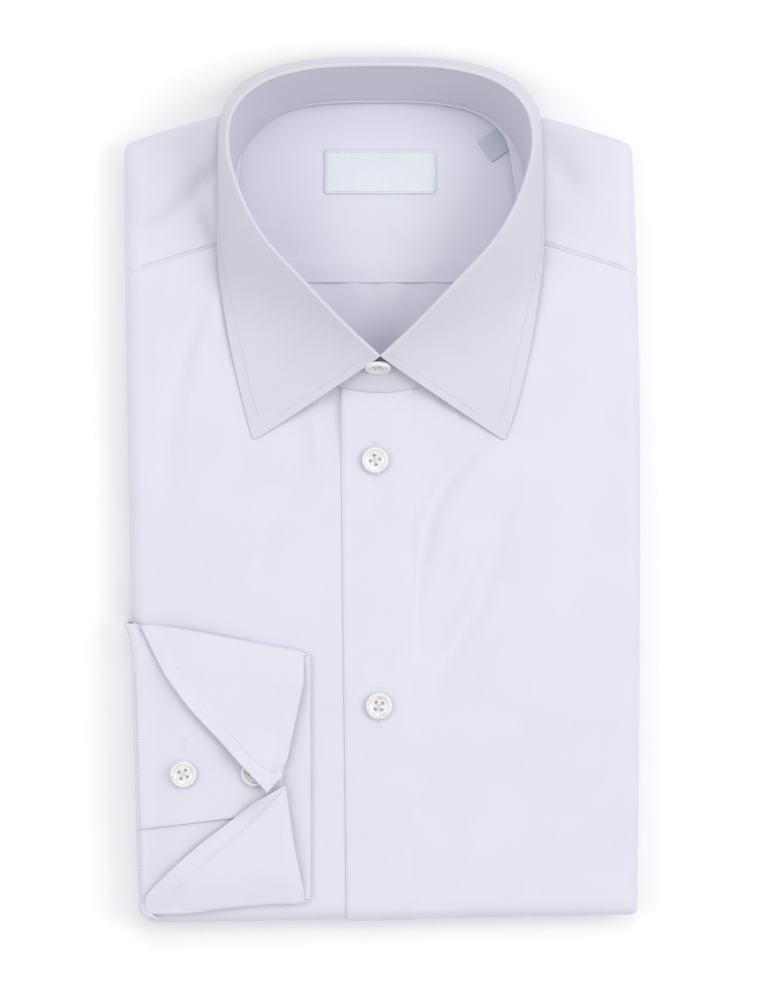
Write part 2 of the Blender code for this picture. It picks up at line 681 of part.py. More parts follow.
def stack_points(ring, angle):
    """The places of the hidden solid's rings: -1 is its top centre, RINGS its bottom centre."""
    bx, by = box_direction(angle)
    corner = np.minimum(np.abs(bx), np.abs(by)) ** 40
    first_turned = len(UPPER_RINGS)
    first_side = first_turned + len(TURNED_RINGS)
    first_under = first_side + len(LAYER_ROWS)
    share = np.concatenate([UPPER_RINGS, np.ones(RINGS - first_turned), [1.0, 0.0]])[ring]
    turn = np.concatenate([np.zeros(first_turned), TURNED_RINGS, np.zeros(RINGS - first_side + 2)])
    over = turn[ring] * FOLD_RADIUS
    weight_x = np.where(np.abs(bx) >= 1 - 1e-9, 1.0, corner)
    weight_y = np.where(np.abs(by) >= 1 - 1e-9, 1.0, corner)
    p = bx * share * FLAT_X + np.sign(bx) * over * weight_x
    q = by * share * FLAT_Y + np.sign(by) * over * weight_y
    points = pack_surface(p, q, lowest_crease)
    clearance = LAYER_CLEARANCE * (1 + np.minimum(over / FOLD_REACH, 1) + 2 * corner)
    depth = stack_depth(points[:, 0], points[:, 1]) + clearance
    points = points - normals_of(pack_surface, p, q) * depth[:, None]
    inset, height = (column(LAYER_ROWS, LAYER_COLUMNS, name) for name in LAYER_COLUMNS)
    layer = np.clip(ring - first_side, 0, len(inset) - 1)
    under = np.concatenate([UNDER_RINGS, [0.0]])[np.clip(ring - first_under, 0, len(UNDER_RINGS))]
    shrink = np.where(ring >= first_under, under, 1.0)
    wide, long = (HALF_WIDTH - inset[layer]) * shrink, (HALF_LENGTH - inset[layer]) * shrink
    low = ring >= first_side
    points[low, :2] = pack_outline(bx * wide, by * long)[low]
    points[low, 2] = height[layer][low]
    return points


def pack_outline(p, q):
    """The plan place of p and q, with rounded corners."""
    wide, long = np.abs(p) / HALF_WIDTH, np.abs(q) / HALF_LENGTH
    n = OUTLINE_POWER
    rounded = np.maximum(wide, long) / np.maximum((wide**n + long**n) ** (1 / n), 1e-9)
    p, q = p * rounded, q * rounded
    low, high = bottom_edge(p), top_edge(p)
    y = low + (q + HALF_LENGTH) / (2 * HALF_LENGTH) * (high - low)
    x = left_edge(y) + (p + HALF_WIDTH) / (2 * HALF_WIDTH) * (right_edge(y) - left_edge(y))
    return np.stack([x, y], axis=-1)


def seam_x(y):
    """The seam of the sleeve and the cuff, just inside the pack's left edge."""
    return left_edge(y) + CUFF_SEAM_IN


def cuff_place(x, y, lift):
    """A place on the cuff, flat over the pack's rounded edge, its top sloping down to the mouth."""
    share = np.clip((y - CUFF_BOTTOM_Y) / (CUFF_TOP_Y - CUFF_BOTTOM_Y), 0, 1.2)
    y = y + share * CUFF_SLOPE * (x - CUFF_SLOPE_FROM)
    flat_x = np.maximum(x, left_edge(y) + FOLD_REACH + GAP)
    spot = on_top(flat_x, y, lift)
    spot[..., 0] += x - flat_x
    return spot


def flattened(x):
    """1 at the sleeve seam, where the cuff is pressed flat, and 0 past it."""
    return smooth((FLATTEN_FROM - x) / FLATTEN_OVER)


def fold_knots(fold_y, direction, middle, radius):
    """Knots round one fold of a flattened tube. direction is 1 at its top fold and -1 at its bottom."""
    turns = np.radians([60, 30, 0, -30, -60])[::direction]
    y = fold_y - direction * radius * (1 - np.cos(turns))
    return list(zip(y, middle + radius * np.sin(turns), (1 + np.sin(turns)) / 2))


def stadium(near_ends, lifts, folds, counts):
    """Knots of a flattened tube's section, as y, lift and side: 1 near the viewer, 0 on the far side.

    They run from the first near end up, round the top fold, down the far side, round the bottom fold
    and up to the second near end. lifts, folds and counts are (near, far), (top, bottom), (near, far).
    """
    (near, far), (top, bottom) = lifts, folds
    radius, middle = (near - far) / 2, (near + far) / 2
    knots = [(y, near, 1.0) for y in np.linspace(near_ends[0], top - radius, counts[0])]
    knots += fold_knots(top, 1, middle, radius)
    knots += [(y, far, 0.0) for y in np.linspace(top - radius, bottom + radius, counts[1])]
    knots += fold_knots(bottom, -1, middle, radius)
    knots += [(y, near, 1.0) for y in np.linspace(bottom + radius, near_ends[1], counts[0])]
    return np.array(knots)


def mouth_x(y, side):
    """The cuff's mouth: a shallow V on the near side, straight on the far side."""
    deep = np.clip(1 - np.abs(y - MOUTH_Y) / (50 * MM), 0, 1)
    near = MOUTH_X - MOUTH_DEEP * deep
    return FAR_MOUTH_X + (near - FAR_MOUTH_X) * side


def make_cuff(finish):
    """The buttoned cuff: a flattened tube with lapped ends, its far side on the front."""
    ends, lifts, folds = (CUFF_END_Y, UNDER_END_Y), (NEAR_LIFT, FAR_LIFT), (CUFF_TOP_Y, CUFF_BOTTOM_Y)
    columns, near = 8, 7
    knots = stadium(ends, lifts, folds, (near, 6))
    knots[1 - near:, 1] -= OVERLAP_STEP

    def place(i, j):
        y, lift, side = knots[j.astype(int)].T
        share = i / columns
        x = seam_x(y) + (mouth_x(y, side) - seam_x(y)) * share
        lift = lift - flattened(x) * (FAR_FLATTEN + (CUFF_FLATTEN - FAR_FLATTEN) * side)
        return cuff_place(x, y, lift)

    return cloth("cuff", place, columns, len(knots) - 1, CUFF_WALL, finish)


def edge_x(rows, y):
    """The x of the turned-back cuff's free edge at the given y."""
    xs, ys = column(rows, TURN_COLUMNS, "x"), column(rows, TURN_COLUMNS, "y")
    order = np.argsort(ys)
    return np.interp(y, ys[order], xs[order])


def make_turn_back(finish):
    """The cuff's turned-back half, round the buttoned one and cut away in a V over the buttons."""
    ends = (TURN_UPPER_END_Y, TURN_LOWER_END_Y)
    folds = (CUFF_TOP_Y + TURN_MARGIN, CUFF_BOTTOM_Y - TURN_MARGIN)
    knots = stadium(ends, (TURN_NEAR_LIFT, TURN_FAR_LIFT), folds, (9, 6))
    columns = 8

    def place(i, j):
        y, lift, side = knots[j.astype(int)].T
        upper = j < len(knots) / 2
        slid = np.clip((y - CUFF_BOTTOM_Y) / (CUFF_TOP_Y - CUFF_BOTTOM_Y), 0, 1)
        plan_y = y + slid * CUFF_SLOPE * TURN_SLOPE_REACH
        free = np.where(upper, edge_x(UPPER_EDGE_ROWS, plan_y), edge_x(LOWER_EDGE_ROWS, plan_y))
        free = TURN_UNDER_X + (free - TURN_UNDER_X) * side
        x = free + (mouth_x(y, side) + GAP - free) * (i / columns)
        from_button = np.hypot(x - CUFF_BUTTONS[1][1] * MM, plan_y - CUFF_BUTTONS[1][2] * MM)
        off_mouth = smooth((mouth_x(plan_y, side) - x) / (6 * MM))
        bump = BUTTON_BUMP * smooth((22 * MM - from_button) / (15 * MM)) * off_mouth * side
        return cuff_place(x, y, lift + bump - flattened(x) * CUFF_FLATTEN * side)

    return cloth("cuff_turn_back", place, columns, len(knots) - 1, CUFF_WALL, finish)


def make_sleeve(finish):
    """The sleeve's end, two layers pressed flat, from the cuff seam down the side, with small pleats."""
    across = column(SLEEVE_ROWS, SLEEVE_COLUMNS, "across")[::-1]
    height = column(SLEEVE_ROWS, SLEEVE_COLUMNS, "height")[::-1]
    rows = 20

    def place(i, j):
        y = SLEEVE_BOTTOM_Y + (CUFF_TOP_Y - SLEEVE_BOTTOM_Y) * (j / rows)
        near_top = smooth((y - CUFF_TOP_Y + PLEATS_OVER) / (3 * MM))
        wave = np.sin((y - CUFF_TOP_Y) / PLEAT_PITCH * 2 * math.pi)
        pleat = PLEAT_DEPTH * np.maximum(wave, 0) * near_top
        x = left_edge(y) + across[i.astype(int)] - pleat
        return np.stack([x, y, height[i.astype(int)]], axis=-1)

    return cloth("sleeve", place, len(across) - 1, rows, SLEEVE_WALL, finish)


def make_label(name, spot, finish):
    """A flat woven label that follows the cloth that it is sewn to."""
    columns, rows = 6, 4
    x, y, width, length, turn = spot

    def place(i, j):
        across, along = (i / columns - 0.5) * width, (j / rows - 0.5) * length
        px = x + across * math.cos(turn) - along * math.sin(turn)
        py = y + across * math.sin(turn) + along * math.cos(turn)
        return on_top(px, py, neck_cloth_lift(px, py) + LABEL_LIFT)

    return cloth(name, place, columns, rows, LABEL_CLOTH, finish)


def button_mesh():
    """A four-hole shirt button, turned from its profile and drilled."""
    profile = bpy.data.meshes.new("button_profile")
    bm = bmesh.new()
    previous = None
    for radius, height in BUTTON_PROFILE:
        vertex = bm.verts.new((radius * MM, 0.0, height * MM))
        if previous is not None:
            bm.edges.new((previous, vertex))
        previous = vertex
    bm.to_mesh(profile)
    bm.free()
    turned = bpy.data.objects.new("button_blank", profile)
    GUIDES.objects.link(turned)
    screw = turned.modifiers.new("turn", "SCREW")
    screw.steps = BUTTON_SEGMENTS
    screw.render_steps = BUTTON_SEGMENTS
    screw.use_merge_vertices = True
    screw.merge_threshold = 0.00002
    cutter = drill_cutter()
    drill = turned.modifiers.new("drill", "BOOLEAN")
    drill.object = cutter
    graph = bpy.context.evaluated_depsgraph_get()
    mesh = bpy.data.meshes.new_from_object(turned.evaluated_get(graph))
    bpy.data.objects.remove(turned)
    bpy.data.objects.remove(cutter)
    bm = bmesh.new()
    bm.from_mesh(mesh)
    bmesh.ops.remove_doubles(bm, verts=bm.verts, dist=0.00001)
    bmesh.ops.recalc_face_normals(bm, faces=bm.faces)
    bm.to_mesh(mesh)
    bm.free()
    return mesh


def drill_cutter():
    """Four drills that cut a button's holes."""
    bm = bmesh.new()
    for x in (-BUTTON_HOLE_OUT, BUTTON_HOLE_OUT):
        for y in (-BUTTON_HOLE_OUT, BUTTON_HOLE_OUT):
            bmesh.ops.create_cone(
                bm,
                cap_ends=True,
                segments=6,
                radius1=BUTTON_HOLE,
                radius2=BUTTON_HOLE,
                depth=3 * BUTTON_THICK,
                matrix=Matrix.Translation((x, y, BUTTON_THICK / 2)),
            )
    mesh = bpy.data.meshes.new("drill")
    bm.to_mesh(mesh)
    bm.free()
    cutter = bpy.data.objects.new("drill", mesh)
    cutter.hide_render = True
    cutter.display_type = "WIRE"
    GUIDES.objects.link(cutter)
    return cutter


def seat_button(name, mesh, point, normal, finish):
    """Sets a button on the cloth at a point, facing out along the normal."""
    obj = keep(name, mesh.copy(), finish)
    out = Vector(normal).normalized()
    upright = out.to_track_quat("Z", "Y").to_matrix().to_4x4()
    obj.matrix_world = Matrix.Translation(Vector(point) + out * BUTTON_SEAT) @ upright
    return obj


def make_buttons(finish):
    """The five buttons: two on the fronts, two on the cuff and one on the collar stand."""
    mesh = button_mesh()
    for name, x_mm, y_mm in FRONT_BUTTONS + CUFF_BUTTONS:
        x, y = np.array([x_mm * MM]), np.array([y_mm * MM])
        lift = STAND_RISE + STAND_EDGE_GAP
        if name.startswith("cuff"):
            lift = NEAR_LIFT + BUTTON_LIFT - flattened(x) * CUFF_FLATTEN
        facing = normals_of(pack_surface, *along_cloth(x, y))[0]
        seat_button(name, mesh, on_top(x, y, lift)[0], facing, finish)
    u, v = (np.array([value]) for value in COLLAR_BUTTON)
    facing = -normals_of(stand_base, u, v, 1e-3)[0]
    spot = stand_surface(u, v)[0] + facing * (STAND_WALL + COLLAR_BUTTON_LIFT)
    seat_button("collar_button", mesh, spot, facing, finish)


def collection(name):
    """A new collection in the scene."""
    made = bpy.data.collections.new(name)
    bpy.context.scene.collection.children.link(made)
    return made


for old in list(bpy.data.objects):
    bpy.data.objects.remove(old)
PIECES = collection("folded_dress_shirt")
GUIDES = collection("guides")


def main():
    """Builds the shirt's pieces, from the hidden layers up."""
    poplin = material("poplin", SHIRT_WHITE, 0.72)
    label = material("woven_label", LABEL_WHITE, 0.8)
    tag = material("size_tag", TAG_GREY, 0.8)
    pearl = material("mother_of_pearl", PEARL, 0.25)
    make_stack(poplin)
    make_front("front_button_side", -1, poplin)
    make_front("front_buttonhole_side", 1, poplin)
    make_yoke(poplin)
    hem, neckline = (NECK_MARGIN, YOKE_HEM_Y), (1.0, LINING_TOP_Y)
    make_neck_cloth("yoke_lining", hem, neckline, CLOTH + GAP, 18, 12, 1.4, poplin)
    front, under_hem = (NECK_MARGIN, PANEL_LOW_Y), (NECK_MARGIN, PANEL_HIGH_Y)
    make_neck_cloth("back_panel", front, under_hem, 0.0, 16, 8, 1.0, poplin)
    make_stand(poplin)
    make_leaf(poplin)
    make_cuff(poplin)
    make_turn_back(poplin)
    make_sleeve(poplin)
    make_label("neck_label", NECK_LABEL, label)
    make_label("size_tag", SIZE_TAG, tag)
    make_buttons(pearl)


main()
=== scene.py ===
"""The visual model of a pressed white dress shirt, folded flat, on a pale floor.

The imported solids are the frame. Each cloth piece is a thin shell laid on its solid's form.
Lengths are in metres, in the frame's own axes: +Y towards the collar, +Z up from the front.
"""

import logging
import math
from dataclasses import dataclass, field
from enum import Enum
from typing import Callable, Optional, Sequence

import bmesh
import bpy
import numpy as np
from mathutils import Matrix, Vector

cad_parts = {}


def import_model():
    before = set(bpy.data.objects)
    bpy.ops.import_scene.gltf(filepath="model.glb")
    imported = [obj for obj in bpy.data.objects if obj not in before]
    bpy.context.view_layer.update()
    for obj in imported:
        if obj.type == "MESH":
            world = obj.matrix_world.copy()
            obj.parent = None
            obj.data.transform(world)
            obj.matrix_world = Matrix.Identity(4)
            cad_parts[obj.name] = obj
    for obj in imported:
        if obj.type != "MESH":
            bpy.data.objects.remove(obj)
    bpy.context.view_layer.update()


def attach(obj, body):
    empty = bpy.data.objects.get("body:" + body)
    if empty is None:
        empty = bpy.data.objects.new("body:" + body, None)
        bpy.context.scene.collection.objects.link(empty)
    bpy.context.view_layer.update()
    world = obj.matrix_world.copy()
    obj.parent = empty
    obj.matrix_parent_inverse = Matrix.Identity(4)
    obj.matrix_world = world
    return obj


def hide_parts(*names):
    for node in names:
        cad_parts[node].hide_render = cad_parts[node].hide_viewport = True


MM = 0.001
LOG = logging.getLogger("shirt")
Array = np.ndarray
Placer = Callable[[Array, Array], Array]
Plan = tuple[float, float]
Span = tuple[float, float]

FRONT_BUTTONS: tuple[Plan, ...] = ((-3.2 * MM, 11.9 * MM), (-1.5 * MM, -92.4 * MM))
CUFF_BUTTONS: tuple[Plan, ...] = ((-84.0 * MM, -121.1 * MM), (-54.0 * MM, -120.6 * MM))
BUTTONHOLE_HALF_WIDTH = 0.55 * MM
BUTTONHOLE_PITCH = 0.42 * MM
BUTTONHOLE_THREAD = (0.3 * MM, 0.9 * MM, 0.25 * MM)


def smooth(t: Array) -> Array:
    """A smooth step from 0 to 1 as t goes from 0 to 1."""
    t = np.clip(t, 0.0, 1.0)
    return t * t * (3 - 2 * t)


def through(values: Array, t: Array) -> Array:
    """Reads a smooth curve through evenly numbered values.

    Args:
        values: The points that the curve passes through.
        t: Where to read it, from 0 to 1.

    Returns:
        The curve's points at t.
    """
    values = np.asarray(values, float)
    last = len(values) - 1
    at = np.clip(np.asarray(t, float), 0.0, 1.0) * last
    i = np.clip(np.floor(at).astype(int), 0, last - 1)
    f = (at - i).reshape(at.shape + (1,) * (values.ndim - 1))
    p0, p1 = values[np.maximum(i - 1, 0)], values[i]
    p2, p3 = values[i + 1], values[np.minimum(i + 2, last)]
    return 0.5 * (
        2 * p1
        + (p2 - p0) * f
        + (2 * p0 - 5 * p1 + 4 * p2 - p3) * f**2
        + (3 * p1 - p0 - 3 * p2 + p3) * f**3
    )


def normals_of(surface: Placer, a: Array, b: Array, step: float = 2e-4) -> Array:
    """Measures a surface's unit normals by small differences.

    Args:
        surface: A function of two numbers that gives points.
        a: The first number.
        b: The second number.
        step: The difference to use.

    Returns:
        Outward unit normals.
    """
    along_a = surface(a + step, b) - surface(a - step, b)
    along_b = surface(a, b + step) - surface(a, b - step)
    normal = np.cross(along_a, along_b)
    return normal / np.maximum(np.linalg.norm(normal, axis=-1, keepdims=True), 1e-12)


def placed(name: str, data: bpy.types.ID) -> bpy.types.Object:
    """Adds an object that holds the data to the scene."""
    obj = bpy.data.objects.new(name, data)
    bpy.context.scene.collection.objects.link(obj)
    return obj


def mesh_of(bm: bmesh.types.BMesh, name: str) -> bpy.types.Mesh:
    """Turns an edited mesh into a plain one, and frees it."""
    mesh = bpy.data.meshes.new(name)
    bm.to_mesh(mesh)
    bm.free()
    return mesh


def buttonhole(x: float, low: float, high: float, half_bar: float, past: float) -> list[tuple[Array, Array]]:
    """Draws a buttonhole that runs along y.

    Args:
        x: Its middle.
        low: Where it starts.
        high: Where it ends.
        half_bar: Half the length of the bar across each end.
        past: How far the bars lie past its ends.

    Returns:
        The x and y of its two long edges and its two bars.
    """
    along, across = np.linspace(low, high, 34), np.linspace(x - half_bar, x + half_bar, 8)
    edges = [(np.full(along.shape, x + side * BUTTONHOLE_HALF_WIDTH), along) for side in (-1, 1)]
    return edges + [(across, np.full(across.shape, end)) for end in (low - past, high + past)]


class Hold(Enum):
    """How a sheet of cloth is held."""

    FOLDED = "folded"
    LAID = "laid"


class Slot(Enum):
    """The record's material slots."""

    POPLIN = "poplin"
    LABEL = "woven_label"
    TAG = "size_tag"
    SHELL = "mother_of_pearl"


@dataclass(frozen=True)
class Fold:
    """One soft fold pressed into the front: its path in plan, half width and height in millimetres."""

    path: tuple[tuple[float, float], ...]
    half_width: float
    height: float

    def height_at(self, x: Array, y: Array) -> Array:
        """The fold's height at each place, in metres. It fades towards both ends of its path."""
        line = through(np.array(self.path) * MM, np.linspace(0, 1, 2 * len(self.path)))
        steps = np.linalg.norm(np.diff(line, axis=0), axis=1)
        passed = np.concatenate([[0.0], np.cumsum(steps)])
        nearest = np.full(np.broadcast(x, y).shape, 1.0)
        share = np.zeros(nearest.shape)
        for (ax, ay), (bx, by), start, length in zip(line, line[1:], passed, steps):
            dx, dy = bx - ax, by - ay
            t = np.clip(((x - ax) * dx + (y - ay) * dy) / length**2, 0, 1)
            off = np.hypot(x - ax - t * dx, y - ay - t * dy)
            share = np.where(off < nearest, (start + t * length) / passed[-1], share)
            nearest = np.minimum(off, nearest)
        strength = smooth(share / 0.3) * smooth((1 - share) / 0.35)
        strength = strength * (1 + 0.18 * np.sin(9 * share + self.path[0][0]))
        return self.height * MM * strength * np.exp(-((nearest / (self.half_width * MM)) ** 2))


FOLDS = (
    Fold(((-21, 45), (-20.2, 30), (-19.4, 12)), 1.7, -1.3),
    Fold(((-80, 146), (-92, 128), (-106, 106)), 7, 1.3),
    Fold(((-64, 144), (-74, 132), (-85, 119), (-97, 110), (-110, 102)), 4, -1.4),
    Fold(((-78, 130), (-74, 114), (-69, 98)), 3, -1.1),
    Fold(((-64, 104), (-74, 84), (-81, 68), (-87, 48), (-91, 22), (-92, -14)), 5, -1.4),
    Fold(((-69, 90), (-76, 66), (-80, 38)), 5, 0.9),
    Fold(((-88, 100), (-93, 74), (-98, 42)), 7, 0.9),
    Fold(((-33, 46), (-36, 24), (-40, 4), (-49, -20), (-54, -56)), 7, -1.1),
    Fold(((-41, 32), (-44, 16), (-47, -2)), 5, 0.6),
    Fold(((-26, 46), (-22, 28), (-20, 6)), 3.2, -1.1),
    Fold(((-31, 38), (-28, 22), (-26, 4)), 3, 0.7),
    Fold(((-60, 64), (-66, 30), (-64, -10)), 12, 0.6),
    Fold(((8, 38), (-4, 29), (-20, 19)), 4, -0.35),
    Fold(((14, 26), (3, 8), (-8, -16)), 5, -0.45),
    Fold(((14, -38), (7, -56), (1, -70), (-4, -92)), 4.5, -0.6),
    Fold(((53, 31), (38, 15), (28, 4), (20, -12), (16, -32), (12, -62)), 4.2, -1.7),
    Fold(((56, 27), (40, 8), (30, -8), (24, -42)), 6, 1.1),
    Fold(((32, -2), (28, -24), (27, -50)), 4, -0.4),
    Fold(((53, 8), (49, -20), (42, -42), (34, -60), (25, -76), (17, -90), (10, -106)), 5, -1.4),
    Fold(((39, -10), (33, -42), (20, -72)), 6, 0.8),
    Fold(((56, -40), (42, -68), (24, -98)), 8, 0.8),
    Fold(((32, 46), (24, 26), (16, 6)), 4, -0.7),
    Fold(((42, 40), (33, 28), (24, 17)), 3, -0.5),
    Fold(((64, 160), (74, 140), (86, 118)), 6, -1.0),
    Fold(((36, -130), (26, -156), (17, -190)), 8, -0.7),
    Fold(((84, 110), (88, 30), (80, -70)), 16, -0.5),
    Fold(((60, 70), (70, 10), (66, -60)), 14, 0.5),
    Fold(((72, -56), (58, -108), (38, -156)), 12, -0.4),
)


@dataclass(frozen=True)
class Pack:
    """The folded shirt's outer form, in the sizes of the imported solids."""

    half_width: float = 110.0 * MM
    half_length: float = 175.0 * MM
    fold_reach: float = 7.0 * MM
    fold_drop: float = 6.2 * MM
    corner_power: float = 5.0
    outline_power: float = 24.0
    top_height: float = 19.5 * MM
    crown_rise: float = 2.2 * MM
    wall: float = 1.2 * MM
    gap: float = 0.4 * MM
    neck_x: float = -1.2 * MM
    neck_y: float = 107.0 * MM
    neck_half_width: float = 61.0 * MM
    neck_back: float = 55.8 * MM
    neck_front: float = 64.0 * MM
    neck_back_power: float = 3.4
    neck_sink: float = 3.6 * MM
    stand_left: float = -18.0 * MM
    stand_right: float = 13.2 * MM
    stand_rise: float = 0.7 * MM
    stand_lean: float = 0.0105
    underlap_drop: float = 0.35 * MM
    seam_start: float = 125.0 * MM
    seam_fall: float = 0.315
    underlap_x: Span = (-68.0 * MM, 42.0 * MM)
    underlap_y: float = 90.0 * MM
    left_start: float = -110.2 * MM
    left_taper: float = 6.4 * MM
    taper_y: float = 145.0 * MM
    taper_length: float = 324.0 * MM
    sleeve_inset: float = 3.2 * MM
    sleeve_y: float = -54.0 * MM
    right_reach: float = 110.0 * MM
    right_widest_y: float = 3.5 * MM
    right_fall_up: float = 3.4 * MM
    right_fall_down: float = 0.7 * MM
    bottom_y: float = -183.8 * MM
    bottom_tilt: float = 0.0157
    top_y: float = 167.6 * MM
    shoulder_fall: float = 21.0 * MM
    shoulder_power: float = 1.9
    folds: tuple[Fold, ...] = FOLDS
    fold_gain: float = 1.5

    @property
    def fold_radius(self) -> float:
        """The radius of the folded edges."""
        return (self.fold_reach + self.fold_drop) / 2

    @property
    def flat_x(self) -> float:
        """How far the flat part reaches across."""
        return self.half_width - self.fold_reach

    @property
    def flat_y(self) -> float:
        """How far the flat part reaches along."""
        return self.half_length - self.fold_reach

    @property
    def wrap(self) -> float:
        """The length of cloth that goes round a folded edge."""
        return self.fold_radius * math.radians(150)

    def left_edge(self, y: Array) -> Array:
        """The x of the side at -X."""
        along = np.clip((self.taper_y - y) / self.taper_length, 0, 1)
        behind_sleeve = smooth((self.sleeve_y - y) / (14 * MM))
        return self.left_start + self.left_taper * along**1.6 + self.sleeve_inset * behind_sleeve

    def right_edge(self, y: Array) -> Array:
        """The x of the side at +X."""
        out = (y - self.right_widest_y) / (142.0 * MM)
        return self.right_reach - np.where(out > 0, self.right_fall_up, self.right_fall_down) * out**2

    def bottom_edge(self, x: Array) -> Array:
        """The y of the bottom fold."""
        return self.bottom_y + self.bottom_tilt * x

    def top_edge(self, x: Array) -> Array:
        """The y of the shoulder fold."""
        return self.top_y - self.shoulder_fall * (np.abs(x) / self.half_width) ** self.shoulder_power

    def neck_scale(self, x: Array, y: Array) -> Array:
        """1 on the neckline seam, less inside it and more outside it."""
        across = np.abs(x - self.neck_x) / self.neck_half_width
        back = np.maximum(y - self.neck_y, 0) / self.neck_back
        front = np.maximum(self.neck_y - y, 0) / self.neck_front
        n = self.neck_back_power
        return np.where(
            y > self.neck_y, (across**n + back**n) ** (1 / n), np.sqrt(across**2 + front**2)
        )

    def relief(self, x: Array, y: Array) -> Array:
        """The soft folds' height, with the slight unevenness of pressed cloth."""
        total = np.zeros(np.broadcast(x, y).shape)
        for fold in self.folds:
            total += self.fold_gain * fold.height_at(x, y)
        waves = np.sin(x * 61 + y * 23 + 0.7) * np.sin(y * 47 - x * 31 + 1.9)
        ripples = np.sin(x * 173 - y * 52 + 2.1) * np.sin(y * 131 + x * 77)
        return total + (0.16 * waves + 0.05 * ripples) * MM

    def surface(self, p: Array, q: Array) -> Array:
        """Points of the outer cloth.

        Args:
            p: The place along the cloth, across the pack.
            q: The place along the cloth, up the pack.

        Returns:
            Points. Past the flat part they go over the folded edges.
        """
        over_x = np.maximum(np.abs(p) - self.flat_x, 0)
        over_y = np.maximum(np.abs(q) - self.flat_y, 0)
        n = self.corner_power
        over = np.maximum(over_x, over_y)
        turn = over / self.fold_radius
        norm = np.maximum((over_x**n + over_y**n) ** (1 / n), 1e-9)
        reach = self.fold_reach * np.sin(turn) / norm
        flat_p = np.sign(p) * (np.minimum(np.abs(p), self.flat_x) + over_x * reach)
        flat_q = np.sign(q) * (np.minimum(np.abs(q), self.flat_y) + over_y * reach)
        low, high = self.bottom_edge(flat_p), self.top_edge(flat_p)
        y = low + (flat_q + self.half_length) / (2 * self.half_length) * (high - low)
        left, right = self.left_edge(y), self.right_edge(y)
        x = left + (flat_p + self.half_width) / (2 * self.half_width) * (right - left)
        crown = (1 - (flat_p / self.half_width) ** 2) * (1 - (flat_q / self.half_length) ** 4)
        fade = np.clip(1 - over / self.fold_reach, 0, 1)
        z = self.top_height + self.crown_rise * crown - self.fold_drop * (1 - np.cos(turn))
        return np.stack([x, y, z + self.relief(x, y) * fade], axis=-1)

    def along_cloth(self, x: Array, y: Array) -> tuple[Array, Array]:
        """The p and q of a place on the flat part, given in plan."""
        left, right = self.left_edge(y), self.right_edge(y)
        p = (x - left) / (right - left) * 2 * self.half_width - self.half_width
        low, high = self.bottom_edge(p), self.top_edge(p)
        return p, (y - low) / (high - low) * 2 * self.half_length - self.half_length

    def lifted(self, p: Array, q: Array, lift: Array) -> Array:
        """Points moved out from the cloth by lift."""
        return self.surface(p, q) + normals_of(self.surface, p, q) * np.asarray(lift)[..., None]

    def on_top(self, x: Array, y: Array, lift: Array) -> Array:
        """Points over a place in plan, moved out from the cloth by lift."""
        p, q = self.along_cloth(np.asarray(x, float), np.asarray(y, float))
        return self.lifted(p, q, np.broadcast_to(lift, p.shape))

    def stack_depth(self, x: Array, y: Array) -> Array:
        """How far under the outer cloth the hidden layers lie."""
        left, right = self.underlap_x
        under = smooth((x - left) / (24 * MM)) * smooth((right - x) / (22 * MM))
        under = under * smooth((self.underlap_y - y) / (20 * MM))
        in_neck = smooth((1.5 - self.neck_scale(x, y)) / 0.5)
        return self.wall + self.gap + (self.underlap_drop + 0.1 * MM) * under + self.neck_sink * in_neck

    def neck_lift(self, x: Array, y: Array) -> Array:
        """The lift of the cloth seen inside the neck."""
        return self.wall + self.gap - self.stack_depth(x, y)

    def front_level(self, x: Array, y: Array) -> Array:
        """The lift of the uppermost front near the neckline."""
        in_front = smooth((self.neck_y - 30 * MM - y) / (20 * MM))
        over = smooth((x - self.stand_left + 8 * MM) / (6 * MM))
        over = over * smooth((self.stand_right + 8 * MM - x) / (6 * MM))
        under = smooth((x + 45 * MM) / (20 * MM)) * smooth((self.stand_left - x) / (6 * MM))
        return (self.stand_rise * over - self.underlap_drop * under) * in_front

    def seam_y(self, x: Array) -> Array:
        """The yoke's front seam on either shoulder."""
        return self.seam_start - self.seam_fall * np.abs(x)

    def neckline_y(self, x: Array, scale: float, back: bool) -> Array:
        """The neckline's y at x, towards the back or the front."""
        across = np.clip(np.abs(x - self.neck_x) / (self.neck_half_width * scale), 0, 1)
        if back:
            n = self.neck_back_power
            return self.neck_y + self.neck_back * scale * (1 - across**n) ** (1 / n)
        return self.neck_y - self.neck_front * scale * np.sqrt(1 - across**2)

    def shoulder_y(self, x: Array, back: bool) -> Array:
        """The edge of the front or the yoke: the neckline, and beside it the shoulder seam."""
        beside = np.abs(x - self.neck_x) - 0.93 * self.neck_half_width
        beside = smooth(beside / (0.1 * self.neck_half_width))
        seam = self.seam_y(x) + (self.gap / 4 if back else -self.gap / 4)
        return self.neckline_y(x, 1.03, back) * (1 - beside) + seam * beside

    def along_stand(self, p: Array, q: Array) -> Array:
        """How far to move cloth along p, so that the button stand is straight and leans a little."""
        edge = self.surface(np.full(p.shape, self.stand_left), q)
        wanted = self.stand_left + self.stand_lean * (40 * MM - edge[..., 1])
        beyond = np.maximum(np.abs(p) - 20 * MM, 0)
        return (wanted - edge[..., 0]) * smooth(1 - beyond / (50 * MM))


PACK = Pack()


